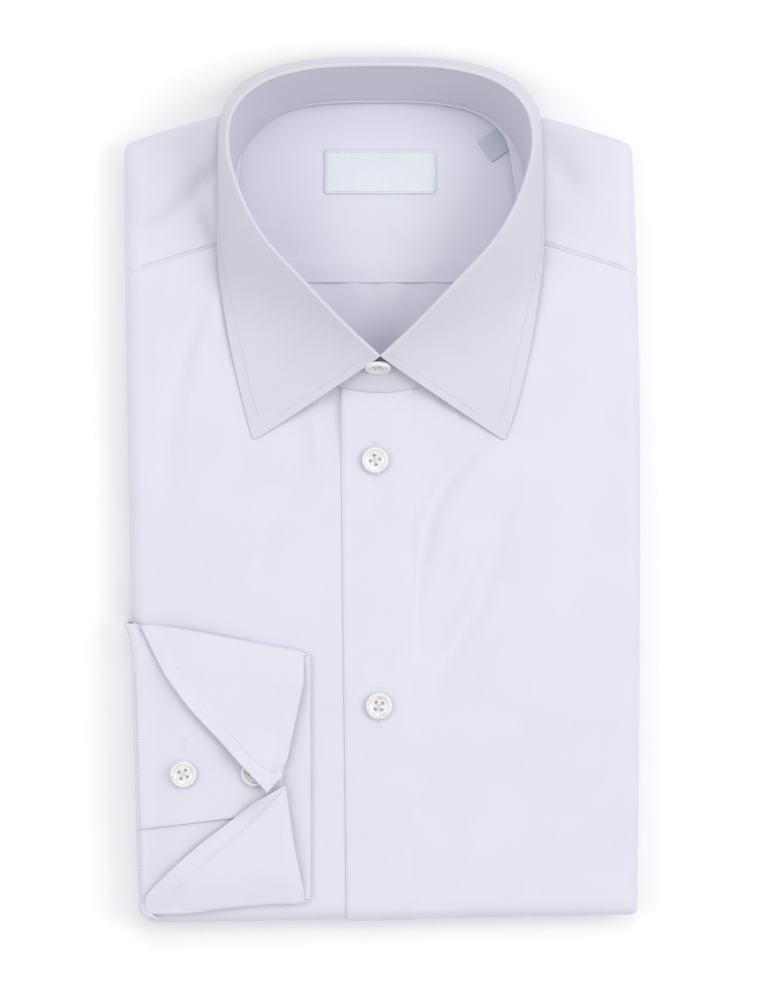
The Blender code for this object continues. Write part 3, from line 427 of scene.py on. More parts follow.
class NodeBuilder:
    """Short calls for building a material's or a geometry's nodes."""

    def __init__(self, tree: bpy.types.NodeTree) -> None:
        """Starts on a tree."""
        self.tree = tree

    def add(self, kind: str, **values: object) -> bpy.types.Node:
        """Adds a node.

        Args:
            kind: The node's type name.
            values: Properties by name. A name that is an input's sets that input.

        Returns:
            The new node.
        """
        node = self.tree.nodes.new(kind)
        for name, value in values.items():
            label = name.replace("_", " ")
            if hasattr(node, name):
                setattr(node, name, value)
            else:
                node.inputs[label].default_value = value
        return node

    def link(self, start: bpy.types.NodeSocket, end: bpy.types.NodeSocket) -> None:
        """Joins an output to an input."""
        self.tree.links.new(start, end)

    def math(self, operation: str, a: object, b: object) -> bpy.types.NodeSocket:
        """Adds a Math node.

        Args:
            operation: The node's operation.
            a: A socket or a number.
            b: A socket or a number.

        Returns:
            The node's output.
        """
        node = self.tree.nodes.new("ShaderNodeMath")
        node.operation = operation
        for socket, value in zip(node.inputs, (a, b)):
            if isinstance(value, bpy.types.NodeSocket):
                self.link(value, socket)
            else:
                socket.default_value = value
        return node.outputs[0]


@dataclass(frozen=True)
class ClothFinish:
    """A woven cotton finish: its colours, thread pitch and the depth of its weave."""

    name: str
    colour: tuple[float, float, float]
    shade: tuple[float, float, float]
    roughness: float = 0.78
    pitch: float = 0.28 * MM
    weave_depth: float = 0.25
    sheen: float = 0.12

    def build(self) -> bpy.types.Material:
        """Makes the material.

        Returns:
            A material that reads the piece's own cloth map, so that the weave follows the cloth.
        """
        material = bpy.data.materials.new(self.name)
        material.use_nodes = True
        nodes = NodeBuilder(material.node_tree)
        shader = material.node_tree.nodes["Principled BSDF"]
        shader.inputs["Roughness"].default_value = self.roughness
        shader.inputs["Sheen Weight"].default_value = self.sheen
        shader.inputs["Sheen Roughness"].default_value = 0.5
        shader.inputs["Specular IOR Level"].default_value = 0.3
        cloth = nodes.add("ShaderNodeUVMap", uv_map="cloth")
        place = nodes.add("ShaderNodeTexCoord")
        bands = []
        for axis in ("X", "Y"):
            wave = nodes.add("ShaderNodeTexWave", wave_type="BANDS", bands_direction=axis)
            wave.inputs["Scale"].default_value = math.pi / 10 / self.pitch
            wave.inputs["Distortion"].default_value = 0.6
            wave.inputs["Detail"].default_value = 1.0
            nodes.link(cloth.outputs["UV"], wave.inputs["Vector"])
            bands.append(wave.outputs["Fac"])
        weave = nodes.math("MAXIMUM", bands[0], bands[1])
        slubs = nodes.add("ShaderNodeTexNoise")
        stretch = nodes.add("ShaderNodeMapping")
        stretch.inputs["Scale"].default_value = (900.0, 60.0, 1.0)
        slubs.inputs["Scale"].default_value = 1.0
        slubs.inputs["Detail"].default_value = 3.0
        nodes.link(cloth.outputs["UV"], stretch.inputs["Vector"])
        nodes.link(stretch.outputs["Vector"], slubs.inputs["Vector"])
        cloud = nodes.add("ShaderNodeTexNoise")
        cloud.inputs["Scale"].default_value = 38.0
        cloud.inputs["Detail"].default_value = 4.0
        nodes.link(place.outputs["Object"], cloud.inputs["Vector"])
        streaks = nodes.math("MULTIPLY", slubs.outputs["Fac"], 0.25)
        mixed = nodes.math("ADD", streaks, nodes.math("MULTIPLY", cloud.outputs["Fac"], 0.75))
        ramp = nodes.add("ShaderNodeValToRGB")
        ramp.color_ramp.elements[0].position = 0.3
        ramp.color_ramp.elements[0].color = (*self.shade, 1.0)
        ramp.color_ramp.elements[1].position = 0.7
        ramp.color_ramp.elements[1].color = (*self.colour, 1.0)
        nodes.link(mixed, ramp.inputs["Fac"])
        nodes.link(ramp.outputs["Color"], shader.inputs["Base Color"])
        seam = nodes.add("ShaderNodeAttribute", attribute_name="pucker")
        pucker = nodes.add("ShaderNodeTexNoise")
        pucker.inputs["Scale"].default_value = 260.0
        pucker.inputs["Detail"].default_value = 2.0
        nodes.link(place.outputs["Object"], pucker.inputs["Vector"])
        puckers = nodes.math("MULTIPLY", pucker.outputs["Fac"], seam.outputs["Fac"])
        fine = nodes.add("ShaderNodeBump", Strength=self.weave_depth, Distance=0.00005)
        nodes.link(weave, fine.inputs["Height"])
        coarse = nodes.add("ShaderNodeBump", Strength=0.8, Distance=0.0006)
        nodes.link(puckers, coarse.inputs["Height"])
        nodes.link(fine.outputs["Normal"], coarse.inputs["Normal"])
        nodes.link(coarse.outputs["Normal"], shader.inputs["Normal"])
        return material


@dataclass(frozen=True)
class ShellFinish:
    """Polished shell: a pearly grey white with faint bands of colour."""

    name: str = "pearl_shell"
    roughness: float = 0.16
    bands: tuple[tuple[float, tuple[float, float, float]], ...] = (
        (0.28, (0.58, 0.55, 0.54)),
        (0.42, (0.81, 0.79, 0.78)),
        (0.52, (0.79, 0.80, 0.80)),
        (0.60, (0.86, 0.82, 0.82)),
        (0.74, (0.92, 0.90, 0.90)),
    )

    def build(self) -> bpy.types.Material:
        """Makes the material.

        Returns:
            A glossy material with cloudy bands, on Object coordinates.
        """
        material = bpy.data.materials.new(self.name)
        material.use_nodes = True
        nodes = NodeBuilder(material.node_tree)
        shader = material.node_tree.nodes["Principled BSDF"]
        shader.inputs["Roughness"].default_value = self.roughness
        shader.inputs["Coat Weight"].default_value = 0.6
        shader.inputs["Coat Roughness"].default_value = 0.06
        place = nodes.add("ShaderNodeTexCoord")
        noise = nodes.add("ShaderNodeTexNoise")
        noise.inputs["Scale"].default_value = 420.0
        noise.inputs["Detail"].default_value = 5.0
        noise.inputs["Distortion"].default_value = 1.6
        nodes.link(place.outputs["Object"], noise.inputs["Vector"])
        ramp = nodes.add("ShaderNodeValToRGB")
        for place_at, colour in self.bands[:3]:
            ramp.color_ramp.elements.new(place_at).color = (*colour, 1.0)
        ramp.color_ramp.elements[0].color = (*self.bands[0][1], 1.0)
        ramp.color_ramp.elements[-1].color = (*self.bands[-1][1], 1.0)
        nodes.link(noise.outputs["Fac"], ramp.inputs["Fac"])
        nodes.link(ramp.outputs["Color"], shader.inputs["Base Color"])
        bump = nodes.add("ShaderNodeBump", Strength=0.12, Distance=0.0001)
        nodes.link(noise.outputs["Fac"], bump.inputs["Height"])
        nodes.link(bump.outputs["Normal"], shader.inputs["Normal"])
        return material


@dataclass(frozen=True)
class PlainFinish:
    """A finish with a fine grain, for thread and for the floor."""

    name: str
    colour: tuple[float, float, float]
    roughness: float
    grain_scale: float = 900.0
    grain: float = 0.04

    def build(self) -> bpy.types.Material:
        """Makes the material, with its grain in colour and height."""
        material = bpy.data.materials.new(self.name)
        material.use_nodes = True
        nodes = NodeBuilder(material.node_tree)
        shader = material.node_tree.nodes["Principled BSDF"]
        shader.inputs["Roughness"].default_value = self.roughness
        place = nodes.add("ShaderNodeTexCoord")
        noise = nodes.add("ShaderNodeTexNoise")
        noise.inputs["Scale"].default_value = self.grain_scale
        noise.inputs["Detail"].default_value = 3.0
        nodes.link(place.outputs["Object"], noise.inputs["Vector"])
        ramp = nodes.add("ShaderNodeValToRGB")
        low = tuple(max(c - self.grain, 0.0) for c in self.colour)
        ramp.color_ramp.elements[0].color = (*low, 1.0)
        ramp.color_ramp.elements[1].color = (*self.colour, 1.0)
        nodes.link(noise.outputs["Fac"], ramp.inputs["Fac"])
        nodes.link(ramp.outputs["Color"], shader.inputs["Base Color"])
        bump = nodes.add("ShaderNodeBump", Strength=0.1, Distance=0.0001)
        nodes.link(noise.outputs["Fac"], bump.inputs["Height"])
        nodes.link(bump.outputs["Normal"], shader.inputs["Normal"])
        return material


@dataclass
class Wardrobe:
    """The finishes of the shirt, built once and shared by its pieces."""

    poplin: bpy.types.Material = field(init=False)
    collar_painted_shade: bpy.types.Material = field(init=False)
    label: bpy.types.Material = field(init=False)
    tag: bpy.types.Material = field(init=False)
    shell: bpy.types.Material = field(init=False)
    thread: bpy.types.Material = field(init=False)
    seam: bpy.types.Material = field(init=False)
    hole_painted_shade: bpy.types.Material = field(init=False)
    floor: bpy.types.Material = field(init=False)

    def __post_init__(self) -> None:
        """Builds every finish."""
        self.poplin = ClothFinish("white_poplin", (0.73, 0.73, 0.82), (0.70, 0.70, 0.795)).build()
        # A darker copy of the poplin for the collar: painted shade over the whole collar, the same cloth as
        # the fronts.
        self.collar_painted_shade = ClothFinish("poplin_collar_painted_shade", (0.665, 0.665, 0.755), (0.64, 0.64, 0.73)).build()
        self.label = ClothFinish(
            "satin_label", (0.76, 0.79, 0.84), (0.70, 0.73, 0.79), 0.5, 0.35 * MM, 0.4, 0.3
        ).build()
        self.tag = ClothFinish(
            "ribbon_tag", (0.58, 0.60, 0.68), (0.52, 0.54, 0.62), 0.5, 0.35 * MM, 0.4, 0.3
        ).build()
        self.shell = ShellFinish().build()
        self.thread = PlainFinish("cotton_thread", (0.82, 0.82, 0.88), 0.7).build()
        # The topstitch thread is darker than the real white thread: the stitches are real, their darkness is
        # painted shade of the stitch rows.
        self.seam = PlainFinish("seam_thread_painted_shade", (0.50, 0.50, 0.58), 0.8).build()
        # A near-black finish for the buttons' hole walls: painted shade inside the holes.
        self.hole_painted_shade = PlainFinish("button_hole_painted_shade", (0.12, 0.09, 0.07), 0.8).build()
        self.floor = PlainFinish("pale_table", (0.97, 0.97, 0.975), 0.9, 40.0, 0.01).build()


@dataclass(frozen=True)
class Cut:
    """What a sheet was cut to: its width, length and area, and what it lies on."""

    width: float
    length: float
    area: Optional[float] = None
    hold: Hold = Hold.FOLDED
    rests_on: tuple[str, ...] = ("folded_layers",)


class ClothMaker:
    """Turns grids of points into finished cloth pieces."""

    def __init__(self, wardrobe: Wardrobe) -> None:
        """Keeps the finishes to dress the pieces in."""
        self.wardrobe = wardrobe

    def shell(
        self,
        name: str,
        points: Array,
        thickness: float,
        material: bpy.types.Material,
        pucker: Optional[Array] = None,
        rounding: int = 1,
    ) -> bpy.types.Object:
        """Makes a cloth shell from a grid of points.

        Args:
            name: The piece's name.
            points: Rows by columns by three. Columns cross rows gives the outer side.
            thickness: The cloth's thickness, laid inwards.
            material: Its finish.
            pucker: How far each point is drawn up by a seam, from 0 to 1.
            rounding: Subdivision levels, which round the cloth's edges.

        Returns:
            The finished object, with its modifiers applied.
        """
        rows, columns = points.shape[:2]
        index = np.arange(rows * columns).reshape(rows, columns)
        quads = np.stack(
            [index[:-1, :-1], index[:-1, 1:], index[1:, 1:], index[1:, :-1]], axis=-1
        ).reshape(-1, 4)
        mesh = bpy.data.meshes.new(name)
        mesh.from_pydata(points.reshape(-1, 3).tolist(), [], quads.tolist())
        across = np.linalg.norm(np.diff(points, axis=1), axis=-1)
        along = np.linalg.norm(np.diff(points, axis=0), axis=-1)
        u = np.concatenate([np.zeros((rows, 1)), np.cumsum(across, axis=1)], axis=1)
        u = u - u.mean(axis=1, keepdims=True)
        v = np.concatenate([np.zeros((1, columns)), np.cumsum(along, axis=0)], axis=0)
        uv = np.stack([u, v], axis=-1).reshape(-1, 2)
        layer = mesh.uv_layers.new(name="cloth")
        loops = np.empty(len(mesh.loops), dtype=np.int32)
        mesh.loops.foreach_get("vertex_index", loops)
        layer.data.foreach_set("uv", uv[loops].ravel())
        drawn = mesh.attributes.new("pucker", "FLOAT", "POINT")
        amount = np.zeros(rows * columns) if pucker is None else pucker.ravel()
        drawn.data.foreach_set("value", amount)
        mesh.materials.append(material)
        mesh.shade_smooth()
        obj = placed(name, mesh)
        wall = obj.modifiers.new("wall", "SOLIDIFY")
        wall.thickness = thickness
        wall.offset = -1.0
        if rounding:
            soft = obj.modifiers.new("soft", "SUBSURF")
            soft.levels = rounding
            soft.render_levels = rounding
            soft.boundary_smooth = "PRESERVE_CORNERS"
        return self.settled(obj)

    @staticmethod
    def settled(obj: bpy.types.Object) -> bpy.types.Object:
        """Applies an object's modifiers to its mesh, and keeps it at the origin."""
        graph = bpy.context.evaluated_depsgraph_get()
        mesh = bpy.data.meshes.new_from_object(obj.evaluated_get(graph))
        obj.modifiers.clear()
        obj.data = mesh
        return obj

    @staticmethod
    def declare(obj: bpy.types.Object, slot: Slot, nodes: Sequence[str], cut: Optional[Cut] = None) -> None:
        """Attaches a piece to the root body, hides the CAD nodes that it stands for and logs its faces.

        Args:
            obj: The finished piece.
            slot: The record's slot. Not used.
            nodes: The CAD nodes that it stands for.
            cut: Its flat size, if it is a sheet. Not used.
        """
        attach(obj, "root")
        if nodes:
            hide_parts(*nodes)
        LOG.info("%s: %d faces", obj.name, len(obj.data.polygons))


class StitchTree:
    """The Geometry Nodes tree that runs a row of stitches along a line."""

    def __init__(self) -> None:
        """Builds the tree, with named inputs for its sizes."""
        self.tree = bpy.data.node_groups.new("stitch_row", "GeometryNodeTree")
        face = self.tree.interface
        face.new_socket("Geometry", in_out="OUTPUT", socket_type="NodeSocketGeometry")
        face.new_socket("Geometry", in_out="INPUT", socket_type="NodeSocketGeometry")
        face.new_socket("Pitch", in_out="INPUT", socket_type="NodeSocketFloat")
        face.new_socket("Thread size", in_out="INPUT", socket_type="NodeSocketVector")
        face.new_socket("Unevenness", in_out="INPUT", socket_type="NodeSocketFloat")
        face.new_socket("Seed", in_out="INPUT", socket_type="NodeSocketInt")
        face.new_socket("Material", in_out="INPUT", socket_type="NodeSocketMaterial")
        nodes = NodeBuilder(self.tree)
        start = nodes.add("NodeGroupInput")
        curve = nodes.add("GeometryNodeMeshToCurve")
        even = nodes.add("GeometryNodeResampleCurve", mode="LENGTH")
        tangent = nodes.add("GeometryNodeInputTangent")
        align = nodes.add("FunctionNodeAlignRotationToVector", axis="X")
        ball = nodes.add("GeometryNodeMeshUVSphere", Segments=6, Rings=4, Radius=0.5)
        resize = nodes.add("GeometryNodeTransform")
        jitter = nodes.add("FunctionNodeRandomValue", data_type="FLOAT")
        lower = nodes.add("ShaderNodeMath", operation="SUBTRACT")
        upper = nodes.add("ShaderNodeMath", operation="ADD")
        lower.inputs[0].default_value = 1.0
        upper.inputs[0].default_value = 1.0
        put = nodes.add("GeometryNodeInstanceOnPoints")
        real = nodes.add("GeometryNodeRealizeInstances")
        dress = nodes.add("GeometryNodeSetMaterial")
        end = nodes.add("NodeGroupOutput")
        nodes.link(start.outputs["Geometry"], curve.inputs["Mesh"])
        nodes.link(curve.outputs["Curve"], even.inputs["Curve"])
        nodes.link(start.outputs["Pitch"], even.inputs["Length"])
        nodes.link(tangent.outputs["Tangent"], align.inputs["Vector"])
        nodes.link(ball.outputs["Mesh"], resize.inputs["Geometry"])
        nodes.link(start.outputs["Thread size"], resize.inputs["Scale"])
        nodes.link(start.outputs["Unevenness"], lower.inputs[1])
        nodes.link(start.outputs["Unevenness"], upper.inputs[1])
        numbers = [s for s in jitter.inputs if s.type == "VALUE" and s.name in ("Min", "Max")]
        nodes.link(lower.outputs[0], numbers[0])
        nodes.link(upper.outputs[0], numbers[1])
        nodes.link(start.outputs["Seed"], jitter.inputs["Seed"])
        nodes.link(even.outputs["Curve"], put.inputs["Points"])
        nodes.link(resize.outputs["Geometry"], put.inputs["Instance"])
        nodes.link(align.outputs["Rotation"], put.inputs["Rotation"])
        values = [s for s in jitter.outputs if s.type == "VALUE"]
        nodes.link(values[0], put.inputs["Scale"])
        nodes.link(put.outputs["Instances"], real.inputs["Geometry"])
        nodes.link(real.outputs["Geometry"], dress.inputs["Geometry"])
        nodes.link(start.outputs["Material"], dress.inputs["Material"])
        nodes.link(dress.outputs["Geometry"], end.inputs["Geometry"])

    def sew(
        self,
        name: str,
        lines: Sequence[Array],
        material: bpy.types.Material,
        pitch: float = 1.3 * MM,
        thread: tuple[float, float, float] = (0.8 * MM, 0.34 * MM, 0.2 * MM),
        seed: int = 1,
    ) -> bpy.types.Object:
        """Sews rows of stitches along lines of points.

        Args:
            name: The piece's name.
            lines: Each line's points, which lie on the cloth.
            material: The thread's finish.
            pitch: The distance from stitch to stitch.
            thread: A stitch's size along, across and out of the cloth.
            seed: The seed of the stitches' unevenness.

        Returns:
            The stitches as one plain mesh.
        """
        vertices, edges = [], []
        for line in lines:
            first = len(vertices)
            vertices += [tuple(p) for p in line]
            edges += [(first + i, first + i + 1) for i in range(len(line) - 1)]
        mesh = bpy.data.meshes.new(name)
        mesh.from_pydata(vertices, edges, [])
        obj = placed(name, mesh)
        modifier = obj.modifiers.new("stitches", "NODES")
        modifier.node_group = self.tree
        wanted = {
            "Pitch": pitch,
            "Thread size": thread,
            "Unevenness": 0.12,
            "Seed": seed,
            "Material": material,
        }
        for item in self.tree.interface.items_tree:
            if item.item_type == "SOCKET" and item.in_out == "INPUT" and item.name in wanted:
                modifier[item.identifier] = wanted[item.name]
        ClothMaker.settled(obj)
        obj.data.shade_smooth()
        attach(obj, "root")
        LOG.info("%s: %d faces", name, len(obj.data.polygons))
        return obj


def spread(runs: Sequence[tuple[float, float, int]]) -> Array:
    """Joins runs of (start, stop, count) into one rising list of positions."""
    found = [runs[0][0]]
    for start, stop, count in runs:
        found += list(np.linspace(start, stop, count + 1)[1:])
    return np.array(found)


@dataclass
class HiddenLayers:
    """The shirt's folded-in layers, one rounded solid with layered edges and a flat underside.

    Each row of layers is a ring of the layered edge: its inset and its height, in millimetres.
    """

    maker: ClothMaker
    around: int = 288
    clearance: float = 0.38 * MM
    top_shares: tuple[float, ...] = (0.001, 0.08, 0.2, 0.32, 0.44, 0.56, 0.68, 0.8, 0.91, 1.0)
    turns: tuple[float, ...] = (24, 48, 72, 96, 122)
    under_shares: tuple[float, ...] = (0.86, 0.5, 0.001)
    layers: tuple[tuple[float, float], ...] = (
        (6.3, 7.3),
        (3.4, 7.2),
        (1.6, 6.95),
        (1.1, 6.5),
        (0.8, 5.7),
        (0.9, 5.0),
        (1.6, 4.55),
        (2.9, 4.35),
        (3.1, 4.2),
        (2.0, 4.05),
        (1.4, 3.7),
        (1.2, 3.1),
        (1.6, 2.65),
        (2.9, 2.45),
        (3.0, 2.3),
        (1.9, 2.15),
        (1.3, 1.7),
        (1.3, 0.9),
        (1.8, 0.3),
        (2.5, 0.0),
    )
    map_lean: float = 0.7

    def points(self) -> Array:
        """The rings of the solid, from the middle of its top to the middle of its underside."""
        angle = np.linspace(-math.pi, math.pi, self.around, endpoint=False)
        c, s = np.cos(angle), np.sin(angle)
        reach = np.minimum(1 / np.maximum(np.abs(c), 1e-9), 1 / np.maximum(np.abs(s), 1e-9))
        bx, by = c * reach, s * reach
        corner = np.minimum(np.abs(bx), np.abs(by)) ** 40
        weight_x = np.where(np.abs(bx) >= 1 - 1e-9, 1.0, corner)
        weight_y = np.where(np.abs(by) >= 1 - 1e-9, 1.0, corner)
        rings = []
        for share in self.top_shares:
            rings.append(self.covered(bx * share * PACK.flat_x, by * share * PACK.flat_y, 0.0, corner))
        for turn in np.radians(self.turns):
            over = turn * PACK.fold_radius
            p = bx * PACK.flat_x + np.sign(bx) * over * weight_x
            q = by * PACK.flat_y + np.sign(by) * over * weight_y
            rings.append(self.covered(p, q, over, corner))
        for number, (inset, height) in enumerate(self.layers):
            wander = 0.35 * np.sin(3 * angle + 0.5 * number)
            wander = wander + 0.25 * np.sin(7 * angle - 0.9 * (number // 6))
            inward = (inset + wander * min(1.0, inset / 2)) * MM
            rings.append(self.outline(bx, by, inward, 1.0, height * MM))
        for share in self.under_shares:
            rings.append(self.outline(bx, by, self.layers[-1][0] * MM, share, 0.0))
        return np.array(rings)

    def covered(self, p: Array, q: Array, over: float, corner: Array) -> Array:
        """A ring under the outer cloth."""
        base = PACK.surface(p, q)
        more = self.clearance * (1 + min(over / PACK.fold_reach, 1) + 2 * corner)
        depth = PACK.stack_depth(base[:, 0], base[:, 1]) + more
        return base - normals_of(PACK.surface, p, q) * depth[:, None]

    def outline(self, bx: Array, by: Array, inset: Array, share: float, z: float) -> Array:
        """A level ring inside the pack's outline."""
        p, q = bx * (PACK.half_width - inset) * share, by * (PACK.half_length - inset) * share
        wide, long, n = np.abs(p) / PACK.half_width, np.abs(q) / PACK.half_length, PACK.outline_power
        rounded = np.maximum(wide, long) / np.maximum((wide**n + long**n) ** (1 / n), 1e-9)
        p, q = p * rounded, q * rounded
        low, high = PACK.bottom_edge(p), PACK.top_edge(p)
        y = low + (q + PACK.half_length) / (2 * PACK.half_length) * (high - low)
        left, right = PACK.left_edge(y), PACK.right_edge(y)
        x = left + (p + PACK.half_width) / (2 * PACK.half_width) * (right - left)
        return np.stack([x, y, np.full(x.shape, z)], axis=-1)

    def build(self) -> bpy.types.Object:
        """Makes the closed solid and dresses it in poplin."""
        rings = self.points()
        count, around = rings.shape[:2]
        bm = bmesh.new()
        verts = [[bm.verts.new(tuple(p)) for p in ring] for ring in rings]
        layer = bm.loops.layers.uv.new("cloth")
        for k in range(count - 1):
            for i in range(around):
                j = (i + 1) % around
                bm.faces.new((verts[k][i], verts[k + 1][i], verts[k + 1][j], verts[k][j]))
        bm.faces.new(verts[0])
        bm.faces.new(verts[-1][::-1])
        bmesh.ops.recalc_face_normals(bm, faces=bm.faces)
        for face in bm.faces:
            for loop in face.loops:
                x, y, z = loop.vert.co
                loop[layer].uv = (x + self.map_lean * z, y + self.map_lean * z)
        mesh = mesh_of(bm, "folded_layers_cloth")
        mesh.attributes.new("pucker", "FLOAT", "POINT")
        mesh.materials.append(self.maker.wardrobe.poplin)
        mesh.shade_smooth()
        obj = placed("folded_layers_cloth", mesh)
        self.maker.declare(obj, Slot.POPLIN, ["folded_layers"])
        return obj


@dataclass
class Fronts:
    """The two fronts. They button over each other and wrap the sides and the bottom fold."""

    maker: ClothMaker
    thread: StitchTree
    cloth: float = 0.55 * MM
    underlap_end: float = 9.0 * MM
    tuck: float = 3.0 * MM
    tuck_drop: float = 0.4 * MM
    stand_curl: float = 0.55 * MM
    neck_side: float = 64.0 * MM
    rows: int = 96
    turned_rows: int = 10
    close_rows: int = 12
    hole_below: float = 8.6 * MM
    hole_above: float = 7.4 * MM
    hole_shift: float = 0.2 * MM

    def lift(self, p: Array, side: int) -> Array:
        """How far a front stands off the pack's surface: the button stand, or the underlap."""
        if side < 0:
            return -PACK.underlap_drop * smooth((p + 45 * MM) / (20 * MM))
        step = PACK.stand_rise * smooth((PACK.stand_right + 0.7 * MM - p) / (1.3 * MM))
        return step - self.stand_curl * smooth((PACK.stand_left + 1.6 * MM - p) / (1.6 * MM))

    def grid(self, across: Array, side: int) -> tuple[Array, Array]:
        """The points of one front, and how much its seams draw it up."""
        rows, turned = self.rows, self.turned_rows
        j = np.arange(rows + 1)[:, None]
        p = np.broadcast_to(across[None, :], (rows + 1, len(across)))
        x_flat = np.clip(p, -PACK.flat_x, PACK.flat_x)
        _, q_top = PACK.along_cloth(x_flat, PACK.shoulder_y(x_flat, back=False))
        q_low = -PACK.flat_y - PACK.wrap * (1 - j / turned)
        beside = smooth((np.abs(x_flat - PACK.neck_x) - PACK.neck_half_width) / (3 * MM))
        tuck = self.tuck * beside
        close, near_top = self.close_rows, 12 * MM
        low = -PACK.flat_y + (q_top - near_top + PACK.flat_y) * ((j - turned) / (rows - close - turned))
        high = q_top - near_top + (near_top + tuck) * ((j - rows + close) / close)
        q = np.where(j < turned, q_low, np.where(j < rows - close, low, high))
        under = self.tuck_drop * beside * smooth((q - q_top + 0.8 * MM) / (1.6 * MM))
        moved = p + PACK.along_stand(p, q) if side > 0 else p
        points = PACK.lifted(moved, q, self.lift(p, side) - under)
        at_seam = smooth((q - q_top + 9 * MM) / (7 * MM))
        return points, at_seam * 0.5

    def build(self) -> None:
        """Makes both fronts, their stitches and their buttonholes."""
        left = spread(
            [
                (-PACK.flat_x - PACK.wrap, -PACK.flat_x, 12),
                (-PACK.flat_x, -self.neck_side, 16),
                (-self.neck_side, self.underlap_end, 32),
            ]
        )
        right = spread(
            [
                (PACK.stand_left, PACK.stand_left + 2 * MM, 2),
                (PACK.stand_left + 2 * MM, PACK.stand_right - 2 * MM, 12),
                (PACK.stand_right - 2 * MM, PACK.stand_right + 4 * MM, 8),
                (PACK.stand_right + 4 * MM, 62 * MM, 20),
                (62 * MM, PACK.flat_x, 16),
                (PACK.flat_x, PACK.flat_x + PACK.wrap, 12),
            ]
        )
        for name, side, across, cut in (
            ("front_button_side", -1, left, Cut(0.129, 0.302, 0.0335)),
            ("front_buttonhole_side", 1, right, Cut(0.138, 0.301, 0.0361)),
        ):
            points, pucker = self.grid(across, side)
            piece = self.maker.shell(name + "_cloth", points, self.cloth, self.maker.wardrobe.poplin, pucker)
            self.maker.declare(piece, Slot.POPLIN, [name], cut)
        self.buttonholes()

    def buttonholes(self) -> None:
        """Works the buttonholes' edges, above and below each front button."""
        lines = []
        for x, y in FRONT_BUTTONS:
            low, high = y - self.hole_below, y + self.hole_above
            for xs, ys in buttonhole(x + self.hole_shift, low, high, 1.7 * MM, 0.3 * MM):
                lines.append(PACK.on_top(xs, ys, PACK.stand_rise + 0.05 * MM))
        thread = self.maker.wardrobe.thread
        self.thread.sew("front_buttonhole_stitches", lines, thread, BUTTONHOLE_PITCH, BUTTONHOLE_THREAD, 5)


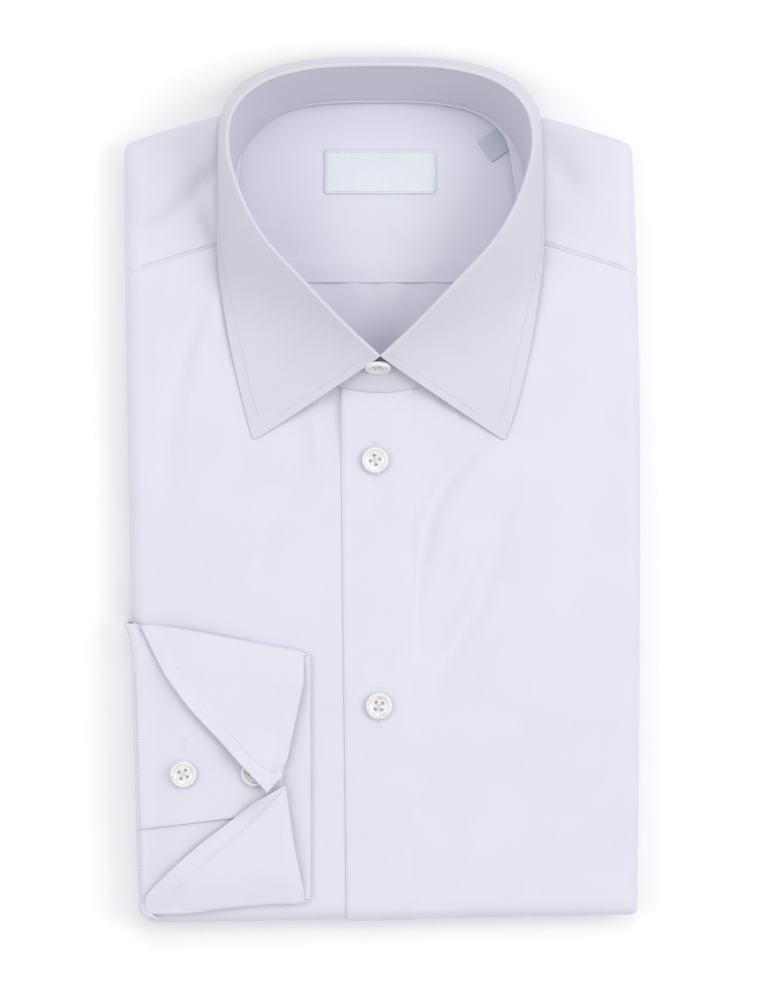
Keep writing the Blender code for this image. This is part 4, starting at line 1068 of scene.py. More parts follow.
@dataclass
class YokeAndNeck:
    """The yoke over the shoulders, and the lining, back panel and labels seen inside the neck."""

    maker: ClothMaker
    thread: StitchTree
    cloth: float = 0.55 * MM
    ridge: float = 0.25 * MM
    ridge_curl: float = 0.28 * MM
    ridge_width: float = 6.5 * MM
    hem_y: float = 87.4 * MM
    hem_rise: float = 0.35 * MM
    hem_width: float = 11.1 * MM
    lining_rise: float = 0.45 * MM
    gathers: float = 0.42 * MM
    label_size: tuple[float, float] = (47.6 * MM, 18.8 * MM)
    label_at: Plan = (-1.0 * MM, 134.7 * MM)
    tag_size: tuple[float, float] = (11.4 * MM, 10.6 * MM)
    tag_at: Plan = (48.3 * MM, 146.4 * MM)
    tag_turn: float = math.radians(36)
    tab_lift: float = 0.75 * MM
    tab_cloth: float = 0.35 * MM

    def yoke_grid(self) -> tuple[Array, Array]:
        """The yoke's points, from its front seams and the neckline over the shoulder fold."""
        inner, neck = PACK.neck_half_width, PACK.neck_x
        across = spread(
            [
                (-PACK.flat_x - PACK.wrap, -PACK.flat_x, 10),
                (-PACK.flat_x, neck - inner * 1.03, 16),
                (neck - inner * 1.03, neck - inner * 0.8, 12),
                (neck - inner * 0.8, neck + inner * 0.8, 32),
                (neck + inner * 0.8, neck + inner * 1.03, 12),
                (neck + inner * 1.03, PACK.flat_x, 16),
                (PACK.flat_x, PACK.flat_x + PACK.wrap, 10),
            ]
        )
        flat, turned = 24, 12
        j = np.arange(flat + turned + 1)[:, None]
        p = np.broadcast_to(across[None, :], (flat + turned + 1, len(across)))
        x_flat = np.clip(p, -PACK.flat_x, PACK.flat_x)
        _, q_low = PACK.along_cloth(x_flat, PACK.shoulder_y(x_flat, back=True))
        start = np.maximum(PACK.flat_y, q_low)
        q = np.where(
            j <= flat,
            q_low + (start - q_low) * (j / flat),
            start + (PACK.flat_y + PACK.wrap - start) * ((j - flat) / turned),
        )
        whole = q_low + (PACK.flat_y + PACK.wrap - q_low) * (j / (flat + turned))
        q = np.where(q_low > PACK.flat_y - 3 * MM, whole, q)
        above = PACK.surface(p, q)[..., 1] - PACK.seam_y(x_flat)
        ridge = self.ridge * smooth((self.ridge_width - above) / (1.5 * MM))
        ridge = ridge - self.ridge_curl * smooth(1 - above / (1.2 * MM))
        ridge = ridge * smooth((np.abs(p - neck) - inner) / (6 * MM))
        pucker = smooth((9 * MM - above) / (6 * MM)) * 0.8
        return PACK.lifted(p, q, ridge), pucker

    def neck_grid(
        self,
        low_scale: float,
        low_y: float,
        high_scale: float,
        high_y: float,
        rise: float,
        columns: int,
        rows: int,
        gathers: float,
    ) -> tuple[Array, Array]:
        """The points of a panel seen inside the neck.

        Args:
            low_scale: Its width towards the front, in necklines.
            low_y: Its lower edge.
            high_scale: Its width towards the back, in necklines.
            high_y: Its upper edge.
            rise: How far its lower edge lies over the next panel.
            columns: Its columns.
            rows: Its rows.
            gathers: The height of the gathers at its upper edge.

        Returns:
            The points, and how much the seams draw them up.
        """
        u = np.linspace(-1, 1, columns + 1)[None, :]
        y = (low_y + (high_y - low_y) * np.linspace(0, 1, rows + 1) ** (1.4 if rise else 1.0))[:, None]
        back = np.clip((y - PACK.neck_y) / (PACK.neck_back * high_scale), 0, 0.999)
        front = np.clip((PACK.neck_y - y) / (PACK.neck_front * low_scale), 0, 0.999)
        n = PACK.neck_back_power
        half = np.where(
            y > PACK.neck_y, high_scale * (1 - back**n) ** (1 / n), low_scale * np.sqrt(1 - front**2)
        )
        x = PACK.neck_x + u * PACK.neck_half_width * half
        y = np.broadcast_to(y, x.shape)
        lift = PACK.neck_lift(x, y) + rise * smooth((low_y + 15 * MM - y) / (9 * MM))
        if rise:
            lift = lift + self.hem_rise * smooth((low_y + self.hem_width - y) / (1.4 * MM))
        down = smooth((y - high_y + 30 * MM) / (26 * MM)) if gathers else np.zeros(x.shape)
        wave = np.sin(x / (3.3 * MM) + 1.3 * np.sin(x / (11 * MM)))
        wave = wave * smooth((46 * MM - np.abs(x)) / (14 * MM))
        lift = lift + gathers * wave * down
        pucker = smooth((low_y + 12 * MM - y) / (6 * MM)) * 0.5
        points = PACK.on_top(x, y, 0.0)
        points[..., 2] += lift
        return points, pucker

    def tab(self, at: Plan, size: tuple[float, float], turn: float) -> Array:
        """A label's points on the lining."""
        u = (np.linspace(-0.5, 0.5, 33) * size[0])[None, :]
        v = (np.linspace(-0.5, 0.5, 17) * size[1])[:, None]
        x = at[0] + u * math.cos(turn) - v * math.sin(turn)
        y = at[1] + u * math.sin(turn) + v * math.cos(turn)
        curl = 0.12 * MM * np.sin(x * 340 + 0.4) * np.cos(y * 420)
        return PACK.on_top(x, y, PACK.neck_lift(x, y) + self.tab_lift + curl)

    def build(self) -> None:
        """Makes the yoke and what is seen inside the neck."""
        poplin = self.maker.wardrobe.poplin
        points, pucker = self.yoke_grid()
        yoke = self.maker.shell("yoke_cloth", points, self.cloth, poplin, pucker)
        self.maker.declare(yoke, Slot.POPLIN, ["yoke"], Cut(0.241, 0.068, 0.0093))
        high = PACK.neck_y + PACK.neck_back * 1.035
        points, pucker = self.neck_grid(1.06, self.hem_y, 1.05, high, self.lining_rise, 72, 56, 0.0)
        lining = self.maker.shell("yoke_lining_cloth", points, self.cloth, poplin, pucker)
        self.maker.declare(lining, Slot.POPLIN, ["yoke_lining"], Cut(0.128, 0.077, 0.0093))
        low = PACK.neck_y - PACK.neck_front * 1.055
        under_hem = self.hem_y + 4 * MM
        points, pucker = self.neck_grid(1.06, low, 1.06, under_hem, 0.0, 120, 36, self.gathers)
        back = self.maker.shell("back_panel_cloth", points, self.cloth, poplin, pucker)
        self.maker.declare(back, Slot.POPLIN, ["back_panel"], Cut(0.126, 0.052, 0.0049))
        on_lining = (None, Hold.LAID, ("yoke_lining_cloth",))
        points = self.tab(self.label_at, self.label_size, 0.0)
        label = self.maker.shell("neck_label_cloth", points, self.tab_cloth, self.maker.wardrobe.label)
        self.maker.declare(label, Slot.LABEL, ["neck_label"], Cut(*self.label_size, *on_lining))
        points = self.tab(self.tag_at, self.tag_size, self.tag_turn)
        tag = self.maker.shell("size_tag_cloth", points, self.tab_cloth, self.maker.wardrobe.tag)
        self.maker.declare(tag, Slot.TAG, ["size_tag"], Cut(*self.tag_size, *on_lining))
        self.stitches()

    def stitches(self) -> None:
        """Sews the yoke's front seams and the label's edge."""
        lines = []
        for side in (-1, 1):
            x = side * np.linspace(66, 102, 30) * MM
            lines.append(PACK.on_top(x, PACK.seam_y(x) + 1.6 * MM, 0.42 * MM))
        self.thread.sew("yoke_stitches", lines, self.maker.wardrobe.seam)
        half_x, half_y = (size / 2 - 1.0 * MM for size in self.label_size)
        t, whole = np.linspace(-1, 1, 24), np.ones(24)
        sides = ((t, whole), (t, -whole), (whole, t), (-whole, t))
        lines = []
        for share_x, share_y in sides:
            x, y = self.label_at[0] + share_x * half_x, self.label_at[1] + share_y * half_y
            lines.append(PACK.on_top(x, y, PACK.neck_lift(x, y) + self.tab_lift + 0.09 * MM))
        self.thread.sew(
            "label_stitches", lines, self.maker.wardrobe.seam, 1.5 * MM, (0.8 * MM, 0.3 * MM, 0.3 * MM), 3
        )


@dataclass
class Collar:
    """The standing collar: its stand, buttoned at the front, and its turned-down leaf."""

    maker: ClothMaker
    thread: StitchTree
    middle_x: float = -0.9 * MM
    roll_radius: float = 0.95 * MM
    roll_tab: float = 4.0 * MM
    tab_share: float = 0.12
    roll_share: float = 0.42
    roll_left: float = 0.14
    corner_share: float = 0.006
    corner_cut: float = 0.022
    gaps_behind: float = 2.8
    gaps_in_front: float = 0.3
    leaf_cloth: float = 0.8 * MM
    stand_cloth: float = 0.7 * MM
    hollow: float = 2.8 * MM
    foot_scale: float = 1.03
    left_tip_out: float = 1.1 * MM
    stitch_in: float = 5.2 * MM
    stand_overlap: float = 0.048
    stand_shift: float = 0.6 * MM
    roll: tuple[tuple[float, float, float], ...] = (
        (0.4, 54.9, 41.0),
        (14.8, 68.2, 45.0),
        (31.8, 85.7, 51.0),
        (48.3, 103.7, 54.5),
        (58.2, 121.8, 56.0),
        (63.6, 142.1, 56.0),
        (60.3, 158.3, 56.0),
        (47.8, 169.2, 55.5),
        (27.2, 174.7, 55.0),
        (0.0, 175.8, 55.0),
    )
    edge: tuple[tuple[float, float, float], ...] = (
        (53.0, 19.7, 22.6),
        (59.2, 39.2, 22.8),
        (65.2, 67.1, 22.8),
        (69.2, 96.0, 22.9),
        (69.5, 118.1, 22.5),
        (69.2, 141.6, 22.0),
        (67.4, 160.0, 19.5),
        (56.5, 174.8, 12.0),
        (32.4, 183.0, 8.5),
        (0.0, 184.1, 8.0),
    )

    def whole(self, half: Sequence[tuple[float, float, float]]) -> Array:
        """Both halves of a line, from the front at -X round the back."""
        half = np.array(half) * MM
        mirrored = half * np.array([-1.0, 1.0, 1.0])
        line = np.concatenate([mirrored, half[-2::-1]]) + np.array([self.middle_x, 0.0, 0.0])
        return line

    def outer_edge(self, u: Array) -> Array:
        """The leaf's outer edge. Its left tip reaches a little further than its right one."""
        edge = through(self.whole(self.edge), u)
        edge[..., 0] -= self.left_tip_out * smooth((0.06 - u) / 0.06)
        return edge

    def roll_frame(self, u: Array) -> tuple[Array, Array]:
        """The roll line's points at u, and its outward direction in plan."""
        line = self.whole(self.roll)
        ahead = through(line, np.clip(u + 0.004, 0, 1)) - through(line, np.clip(u - 0.004, 0, 1))
        out = np.stack([-ahead[..., 1], ahead[..., 0], np.zeros(u.shape)], axis=-1)
        return through(line, u), out / np.linalg.norm(out, axis=-1, keepdims=True)

    def leaf(self, u: Array, v: Array) -> Array:
        """The leaf's outer face.

        Args:
            u: From 0 at one front end to 1 at the other, round the back.
            v: From 0 inside the roll to 1 at the outer edge.

        Returns:
            Points.
        """
        crest, out = self.roll_frame(u)
        edge = self.outer_edge(u)
        from_end = np.clip(1 - np.minimum(u, 1 - u) / self.corner_share, 0, 1)
        shortened = 1 - self.corner_cut * (1 - np.sqrt(1 - from_end**2))
        tab_end, roll_end = self.tab_share, self.roll_share
        past_roll = (v - roll_end) * (shortened - roll_end) / (1 - roll_end)
        v = np.where(v > roll_end, roll_end + past_roll, v)
        up, radius = np.array([0.0, 0.0, 1.0]), self.roll_radius
        rolled = np.clip((v - tab_end) / (roll_end - tab_end), 0, 1)
        turn = np.pi * (1 - rolled * (1 - self.roll_left))
        ring = crest + out * (radius * np.cos(turn))[..., None]
        ring = ring + up * (radius * (np.sin(turn) - 1))[..., None]
        tab = crest - out * radius - up * radius
        tab = tab - up * ((self.roll_tab - radius) * (1 - v / tab_end))[..., None]
        last = np.pi * self.roll_left
        start = crest + out * (radius * math.cos(last)) + up * (radius * (math.sin(last) - 1))
        fall = edge - start
        width = np.linalg.norm(fall[..., :2], axis=-1)
        wide = smooth((width - 10 * MM) / (45 * MM))
        out_share, down_share = 0.66 - 0.34 * wide, 0.34 + 0.60 * wide
        bend = start + fall * np.stack([out_share, out_share, down_share], axis=-1)
        t = np.clip((v - roll_end) / (1 - roll_end), 0, 1)[..., None]
        drop = (1 - t) ** 2 * start + 2 * t * (1 - t) * bend + t**2 * edge
        v = v[..., None]
        return np.where(v < tab_end, tab, np.where(v < roll_end, ring, drop))

    def stand_base(self, u: Array, v: Array) -> Array:
        """The stand's inner face without its overlap."""
        wrapped = np.mod(u, 1.0)
        crest, out = self.roll_frame(wrapped)
        near_front = np.minimum(wrapped, 1 - wrapped)
        ahead = np.array([0.0, -1.0, 0.0])
        out = ahead + (out - ahead) * smooth(near_front / 0.035)[..., None]
        out = out / np.linalg.norm(out, axis=-1, keepdims=True)
        drop = self.roll_tab + 0.4 * MM + 1.9 * MM * smooth((0.08 - near_front) / 0.05)
        hollow = self.hollow * 4 * np.clip(v * (1 - v), 0, 1) * smooth((0.10 - near_front) / 0.08)
        top = crest - out * self.roll_radius - np.array([0.0, 0.0, 1.0]) * drop[..., None]
        neck = np.array([PACK.neck_x, PACK.neck_y])
        away = top[..., :2] - neck
        unit = away / np.linalg.norm(away, axis=-1, keepdims=True)
        probe = unit * PACK.neck_half_width
        here = PACK.neck_scale(neck[0] + probe[..., 0], neck[1] + probe[..., 1])
        scale = PACK.neck_half_width * self.foot_scale / here
        foot = neck + unit * scale[..., None]
        lift = PACK.front_level(foot[..., 0], foot[..., 1])
        at_front = smooth((0.10 - near_front) / 0.05)
        gaps = self.gaps_behind + (self.gaps_in_front - self.gaps_behind) * at_front
        lift = lift + PACK.gap * gaps
        seat = PACK.on_top(foot[..., 0], foot[..., 1], lift)
        return seat + (top - seat) * v[..., None] - out * hollow[..., None]

    def stand(self, u: Array, v: Array) -> Array:
        """The stand's inner face, with its ends lapped at the front."""
        lap = self.stand_overlap
        end = smooth((u - (1 - 2.2 * lap)) / (2 * lap))
        start = smooth(((2.2 * lap) - u) / (2 * lap))
        normal = normals_of(self.stand_base, u, v, 1e-3)
        return self.stand_base(u, v) + normal * ((start - end) * self.stand_shift)[..., None]

    def build(self) -> None:
        """Makes the stand and the leaf, with their stitches."""
        # The collar wears the darker copy of the poplin: painted shade over the whole stand and leaf.
        poplin = self.maker.wardrobe.collar_painted_shade
        u = np.linspace(-self.stand_overlap, 1 + self.stand_overlap, 181)[None, :]
        v = np.linspace(-0.14, 1, 21)[:, None]
        u, v = np.broadcast_arrays(u, v)
        from_front = np.minimum(np.mod(u, 1.0), 1 - np.mod(u, 1.0))
        v = np.where(v < 0, v * smooth((from_front - 0.06) / 0.04), v)
        pucker = smooth((0.25 - v) / 0.2) * 0.8
        stand = self.maker.shell("collar_stand_cloth", self.stand(u, v), self.stand_cloth, poplin, pucker)
        cut = Cut(0.451, 0.041, 0.0148, Hold.FOLDED, ("yoke",))
        self.maker.declare(stand, Slot.POPLIN, ["collar_stand"], cut)
        u = spread([(0, 0.007, 5), (0.007, 0.993, 158), (0.993, 1, 5)])[None, :]
        v = spread([(0, self.roll_share, 14), (self.roll_share, 0.972, 24), (0.972, 1, 4)])[:, None]
        u, v = np.broadcast_arrays(u, v)
        points = self.leaf(u, v)
        edge = smooth((v - 0.86) / 0.1)
        leaf = self.maker.shell("collar_leaf_cloth", points, self.leaf_cloth, poplin, edge * 0.5)
        cut = Cut(0.446, 0.072, 0.0201, Hold.FOLDED, ("collar_stand",))
        self.maker.declare(leaf, Slot.POPLIN, ["collar_leaf"], cut)
        self.stitches()

    def in_from_edge(self, u: Array) -> Array:
        """The leaf's points at the stitches' distance from its outer edge."""
        v = np.linspace(self.roll_share, 1, 60)
        points = self.leaf(*np.broadcast_arrays(u[:, None], v[None, :]))
        lengths = np.linalg.norm(np.diff(points, axis=1), axis=-1)
        left = np.cumsum(lengths[:, ::-1], axis=1)[:, ::-1]
        left = np.concatenate([left, np.zeros((len(u), 1))], axis=1)
        chosen = np.array([np.interp(-self.stitch_in, -row, v) for row in left])
        return self.leaf(u, chosen)

    def stitches(self) -> None:
        """Sews the leaf's three edges and the stand's seam inside the neck.

        The rows down the leaf's front edges lie as far in as the row along its outer edge.
        """
        inward = 0.0143
        lines = [self.in_from_edge(np.linspace(inward, 1 - inward, 240))]
        for u in (inward, 1 - inward):
            v = np.linspace(0.44, 0.9, 60)
            lines.append(self.leaf(np.full(60, u), v))
        u = np.linspace(0.01, 0.99, 240)
        lines.append(self.stand(u, np.full(240, 0.035)))
        self.thread.sew("collar_stitches", lines, self.maker.wardrobe.seam, seed=7)


@dataclass
class CuffAndSleeve:
    """The turned-back cuff, buttoned, on the front, and the end of the sleeve that it is sewn to."""

    maker: ClothMaker
    thread: StitchTree
    wall: float = 1.0 * MM
    top_y: float = -60.2 * MM
    bottom_y: float = -174.6 * MM
    sleeve_bottom: float = -182.3 * MM
    sleeve_top: float = -57.5 * MM
    sleeve_corner: float = 4.0 * MM
    slope: float = -0.185
    slope_from: float = -91.0 * MM
    bottom_slope: float = 0.09
    end_tilt: float = 0.12
    seam_in: float = -2.8 * MM
    end_y: float = -139.2 * MM
    under_end_y: float = -112.0 * MM
    near_lift: float = 5.9 * MM
    far_lift: float = 1.7 * MM
    overlap_step: float = 1.3 * MM
    mouth: float = -33.4 * MM
    mouth_deep: float = 9.2 * MM
    mouth_y: float = -122.0 * MM
    far_mouth: float = -30.6 * MM
    near_flatten: float = 2.4 * MM
    fold_radius: float = 0.9 * MM
    fold_run: float = 15.0 * MM
    outer_gap: float = 0.35 * MM
    far_flatten: float = 1.3 * MM
    bump: float = 3.7 * MM
    button: Plan = CUFF_BUTTONS[1]
    cloth: float = 0.8 * MM
    sleeve_cloth: float = 1.8 * MM
    curl: float = 3.0 * MM
    curl_y: float = -98.0 * MM
    joined: float = 8.0 * MM
    seam_press: float = 1.5 * MM
    dents: float = 0.25 * MM
    upper_hem_rise: float = 0.45 * MM
    lower_hem_rise: float = 0.6 * MM
    pleat: float = 0.6 * MM
    pleat_width: float = 4.2 * MM
    buttonhole_x: float = -84.2 * MM
    buttonhole_y: Span = (-124.0 * MM, -107.0 * MM)
    upper_hem: float = 7.4 * MM
    lower_hem: float = 11.8 * MM
    stitch_past_hem: float = 0.2 * MM
    middle_free: float = -52.0 * MM
    slide: float = 25.0 * MM
    upper_edge: tuple[tuple[float, float], ...] = (
        (-48.8, -126.4),
        (-58.2, -116.9),
        (-68.8, -105.9),
        (-81.5, -94.0),
        (-92.1, -82.4),
        (-98.5, -72.3),
        (-104.0, -62.8),
    )
    lower_edge: tuple[tuple[float, float], ...] = (
        (-47.0, -127.6),
        (-60.0, -136.4),
        (-75.0, -147.2),
        (-90.0, -159.0),
        (-101.0, -169.0),
    )
    sleeve: tuple[tuple[float, float], ...] = (
        (2.4, 22.0),
        (0.6, 22.3),
        (-1.0, 22.1),
        (-2.3, 21.2),
        (-3.0, 18.8),
        (-3.2, 14.0),
        (-3.2, 9.0),
        (-3.1, 5.0),
        (-2.9, 1.2),
    )

    def seam_x(self, y: Array) -> Array:
        """The seam of the sleeve and the cuff."""
        return PACK.left_edge(y) + self.seam_in * smooth((self.top_y - y) / (12 * MM))

    def sloped(self, x: Array, y: Array) -> Array:
        """The plan y of a place on the cuff, whose top edge slopes down to its mouth."""
        share = np.clip((y - self.bottom_y) / (self.top_y - self.bottom_y), 0, 1.2)
        lower = (1 - np.minimum(share, 1)) * self.bottom_slope * np.minimum(x + 45 * MM, 0)
        return y + share * self.slope * (x - self.slope_from) + lower

    def place(self, x: Array, y: Array, lift: Array) -> Array:
        """Points of the cuff, which stays flat over the pack's rounded edge."""
        y = self.sloped(x, y)
        flat_x = np.maximum(x, PACK.left_edge(y) + PACK.fold_reach + PACK.gap)
        spot = PACK.on_top(flat_x, y, lift)
        spot[..., 0] += x - flat_x
        return spot

    def flattened(self, x: Array) -> Array:
        """1 at the sleeve seam, where the cuff is pressed flat, and 0 past it."""
        return smooth((-82 * MM - x) / (18 * MM))

    def section(self, ends: Span, outer: float, margin: float, counts: tuple[int, int]) -> Array:
        """The knots of a flattened tube's section, which thins towards its two folds.

        Args:
            ends: Where it starts and ends on the near side.
            outer: How far it lies outside the buttoned cuff.
            margin: How far its folds lie past the buttoned cuff's.
            counts: The knots on the near and the far side.

        Returns:
            Rows of y, lift and side, which is 1 on the near side and 0 on the far side.
        """
        top, bottom = self.top_y + margin, self.bottom_y - margin
        radius, far = self.fold_radius + outer, self.far_lift - outer
        turns = np.radians(np.arange(75, -76, -15))
        upper = top - radius * (1 - np.cos(turns))
        lower = bottom + radius * (1 - np.cos(turns))
        around = far + radius * (1 + np.sin(turns))
        sides = (1 + np.sin(turns)) / 2
        first = np.linspace(ends[0], top - radius, counts[0])
        across = np.linspace(top - radius, bottom + radius, counts[1])
        last = np.linspace(bottom + radius, ends[1], counts[0])
        y = np.concatenate([first, upper, across, lower[::-1], last])
        near_side, far_side = np.ones(counts[0]), np.zeros(counts[1])
        side = np.concatenate([near_side, sides, far_side, sides[::-1], near_side])
        from_fold = np.clip(np.minimum(top - radius - y, y - bottom - radius) / self.fold_run, 0, 1)
        at_fold = far + 2 * radius
        near = at_fold + (self.near_lift + outer - at_fold) * np.sin(from_fold * math.pi / 2)
        flat = far_side + far
        lift = np.concatenate([near[: counts[0]], around, flat, around[::-1], near[-counts[0] :]])
        return np.stack([y, lift, side], axis=1)

    def mouth_x(self, y: Array, side: Array) -> Array:
        """The cuff's mouth: a shallow V on the near side, straight on the far side."""
        deep = np.clip(1 - np.abs(y - self.mouth_y) / (50 * MM), 0, 1)
        near = self.mouth - self.mouth_deep * deep
        return self.far_mouth + (near - self.far_mouth) * side

    def edge_x(self, rows: Sequence[tuple[float, float]], y: Array) -> Array:
        """The x of the turned-back part's free edge at y."""
        table = np.array(rows) * MM
        order = np.argsort(table[:, 1])
        return np.interp(y, table[order, 1], table[order, 0])

    def cuff_grid(self) -> Array:
        """The buttoned cuff's points."""
        knots = self.section((self.end_y, self.under_end_y), 0.0, 0.0, (36, 44))
        late = np.arange(len(knots)) >= len(knots) - 33
        knots[late, 1] -= self.overlap_step * smooth((np.arange(len(knots))[late] - len(knots) + 33) / 5)
        y, lift, side = (k[:, None] for k in knots.T)
        share = np.linspace(0, 1, 37)[None, :]
        x = self.seam_x(y) + (self.mouth_x(y, side) - self.seam_x(y)) * share
        lift = lift - self.flattened(x) * (self.far_flatten + (self.near_flatten - self.far_flatten) * side)
        lift = lift - self.seam_press * smooth(1 - (x - self.seam_x(y)) / (3.5 * MM)) ** 2 * side
        from_end = (1 - np.arange(len(knots)) / 35.0).clip(0, 1)[:, None]
        y = y + self.end_tilt * (x + 80 * MM) * from_end
        dents = self.dents * np.sin(x * 190 + y * 60) * np.sin(y * 120 - x * 40) * side
        y, lift = np.broadcast_arrays(y, lift + dents)
        return self.place(x, y, lift)

    def turned_knots(self) -> Array:
        """The section of the turned-back part."""
        return self.section((-125.4 * MM, -129.2 * MM), self.wall + self.outer_gap, 1.9 * MM, (44, 24))

    def plan_y(self, y: Array) -> Array:
        """The plan y of a place on the turned-back part, near the middle of the cuff."""
        slid = np.clip((y - self.bottom_y) / (self.top_y - self.bottom_y), 0, 1)
        return y + slid * self.slope * self.slide

    def turned_point(self, y: Array, lift: Array, side: Array, upper: Array, share: Array) -> Array:
        """Points of the turned-back part: share 0 is its free edge and 1 the mouth's fold."""
        plan_y = self.plan_y(y)
        free = np.where(upper, self.edge_x(self.upper_edge, plan_y), self.edge_x(self.lower_edge, plan_y))
        free = self.middle_free + (free - self.middle_free) * side
        x = free + (self.mouth_x(y, side) + 0.4 * MM - free) * share
        from_button = np.hypot(x - self.button[0], plan_y - self.button[1])
        off_mouth = smooth((self.mouth_x(plan_y, side) - x) / (6 * MM))
        bump = self.bump * smooth((22 * MM - from_button) / (15 * MM)) * off_mouth * side
        from_free = x - free
        near_curl = np.exp(-(((plan_y - self.curl_y) / (17 * MM)) ** 2))
        curl = self.curl * smooth(1 - from_free / (10 * MM)) * near_curl
        upper_hem = self.upper_hem_rise * smooth((self.upper_hem - from_free) / (1.6 * MM))
        lower_hem = self.lower_hem_rise * smooth((self.lower_hem - from_free) / (1.8 * MM))
        raised = np.where(upper, curl + upper_hem, lower_hem) * side
        lift = lift + bump - self.flattened(x) * self.near_flatten * side + raised
        closed = (self.wall + self.outer_gap - 0.15 * MM) * smooth((share - 0.9) / 0.1)
        lift = lift - closed * (2 * side - 1)
        middle, half = (self.top_y + self.bottom_y) / 2, (self.top_y - self.bottom_y) / 2
        y = y - (y - middle) / half * 1.1 * MM * smooth((share - 0.9) / 0.1)
        near_joint = np.where(upper, smooth((-108 * MM - y) / (17 * MM)), smooth((y + 150 * MM) / (20 * MM)))
        y, lift = np.broadcast_arrays(y + self.joined * near_joint * share * side, lift)
        return self.place(x, y, lift)

    def build(self) -> None:
        """Makes the cuff, its turned-back part, the sleeve's end and their stitches."""
        poplin = self.maker.wardrobe.poplin
        cuff = self.maker.shell("cuff_cloth", self.cuff_grid(), self.cloth, poplin)
        cut = Cut(0.077, 0.279, 0.0178, Hold.FOLDED, ("front_button_side",))
        self.maker.declare(cuff, Slot.POPLIN, ["cuff"], cut)
        knots = self.turned_knots()
        y, lift, side = (k[:, None] for k in knots.T)
        upper = np.arange(len(knots))[:, None] < len(knots) / 2
        share = np.linspace(0, 1, 33)[None, :]
        points = self.turned_point(y, lift, side, upper, share)
        pucker = np.broadcast_to(smooth((0.14 - share) / 0.1), points.shape[:2]) * 0.4
        turned = self.maker.shell("cuff_turn_back_cloth", points, self.cloth, poplin, pucker)
        cut = Cut(0.071, 0.24, 0.0076, Hold.FOLDED, ("cuff",))
        self.maker.declare(turned, Slot.POPLIN, ["cuff_turn_back"], cut)
        self.sleeve_end()
        self.stitches(knots)

    def sleeve_end(self) -> None:
        """Makes the sleeve's end, with small pleats beside the cuff's upper fold."""
        table = np.array(self.sleeve) * MM
        t = np.linspace(0, 1, 33)
        profile = through(table[::-1], t)
        corner = np.linspace(0, 1, 13) ** 2 * self.sleeve_corner
        rest = np.linspace(self.sleeve_corner, self.sleeve_top - self.sleeve_bottom, 81)[1:]
        y = (self.sleeve_bottom + np.concatenate([corner, rest]))[:, None]
        short = np.clip(1 - (y - self.sleeve_bottom) / self.sleeve_corner, 0, 1)
        rounded = self.sleeve_corner * (1 - np.sqrt(1 - short**2))
        near_top = smooth((y - self.top_y + 17 * MM) / (3 * MM))
        wave = np.sin((y - self.top_y) / self.pleat_width * math.pi)
        pleat = self.pleat * np.maximum(wave, 0) * near_top
        x = PACK.left_edge(y) + profile[None, :, 0] - pleat + 0.8 * rounded
        z = profile[None, :, 1] - 0.5 * pleat
        points = np.stack([x, np.broadcast_to(y, x.shape), z], axis=-1)
        sleeve = self.maker.shell("sleeve_cloth", points, self.sleeve_cloth, self.maker.wardrobe.poplin)
        self.maker.declare(sleeve, Slot.POPLIN, ["sleeve"], Cut(0.026, 0.127, 0.0032))

    def stitches(self, knots: Array) -> None:
        """Sews along the turned-back edges and the sleeve's seam, and works the buttonhole."""
        lines = []
        near, number, half = knots[:, 2] > 0.99, np.arange(len(knots)), len(knots) // 2
        for chosen, rows, hem in (
            (near & (number < half), self.upper_edge, self.upper_hem),
            (near & (number > half), self.lower_edge, self.lower_hem),
        ):
            y, lift, side = (k[:, None] for k in knots[chosen].T)
            room = self.mouth_x(y, side) - self.edge_x(rows, self.plan_y(y))
            share = np.minimum((hem + self.stitch_past_hem) / np.maximum(room, 1e-4), 0.97)
            upper = np.full(y.shape, rows is self.upper_edge)
            lines.append(self.turned_point(y, lift + 0.03 * MM, side, upper, share)[:, 0])
        self.thread.sew("cuff_edge_stitches", lines, self.maker.wardrobe.seam)
        lines = []
        y = np.linspace(-170, -80, 60) * MM
        x = self.seam_x(y) + 1.6 * MM
        lines.append(self.place(x, y, self.near_lift - self.near_flatten + 0.03 * MM))
        self.thread.sew("cuff_end_stitches", lines, self.maker.wardrobe.seam, seed=4)
        drawn = buttonhole(self.buttonhole_x, *self.buttonhole_y, 1.6 * MM, 0.2 * MM)
        lines = [self.on_cuff(x, y, 0.04 * MM) for x, y in drawn]
        thread = self.maker.wardrobe.thread
        self.thread.sew("cuff_buttonhole_stitches", lines, thread, BUTTONHOLE_PITCH, BUTTONHOLE_THREAD, 6)

    def on_cuff(self, x: Array, y: Array, above: float) -> Array:
        """Points in plan on the buttoned cuff's near side, a little above it."""
        lift = self.near_lift - self.flattened(x) * self.near_flatten
        return PACK.on_top(x, y, lift + above)


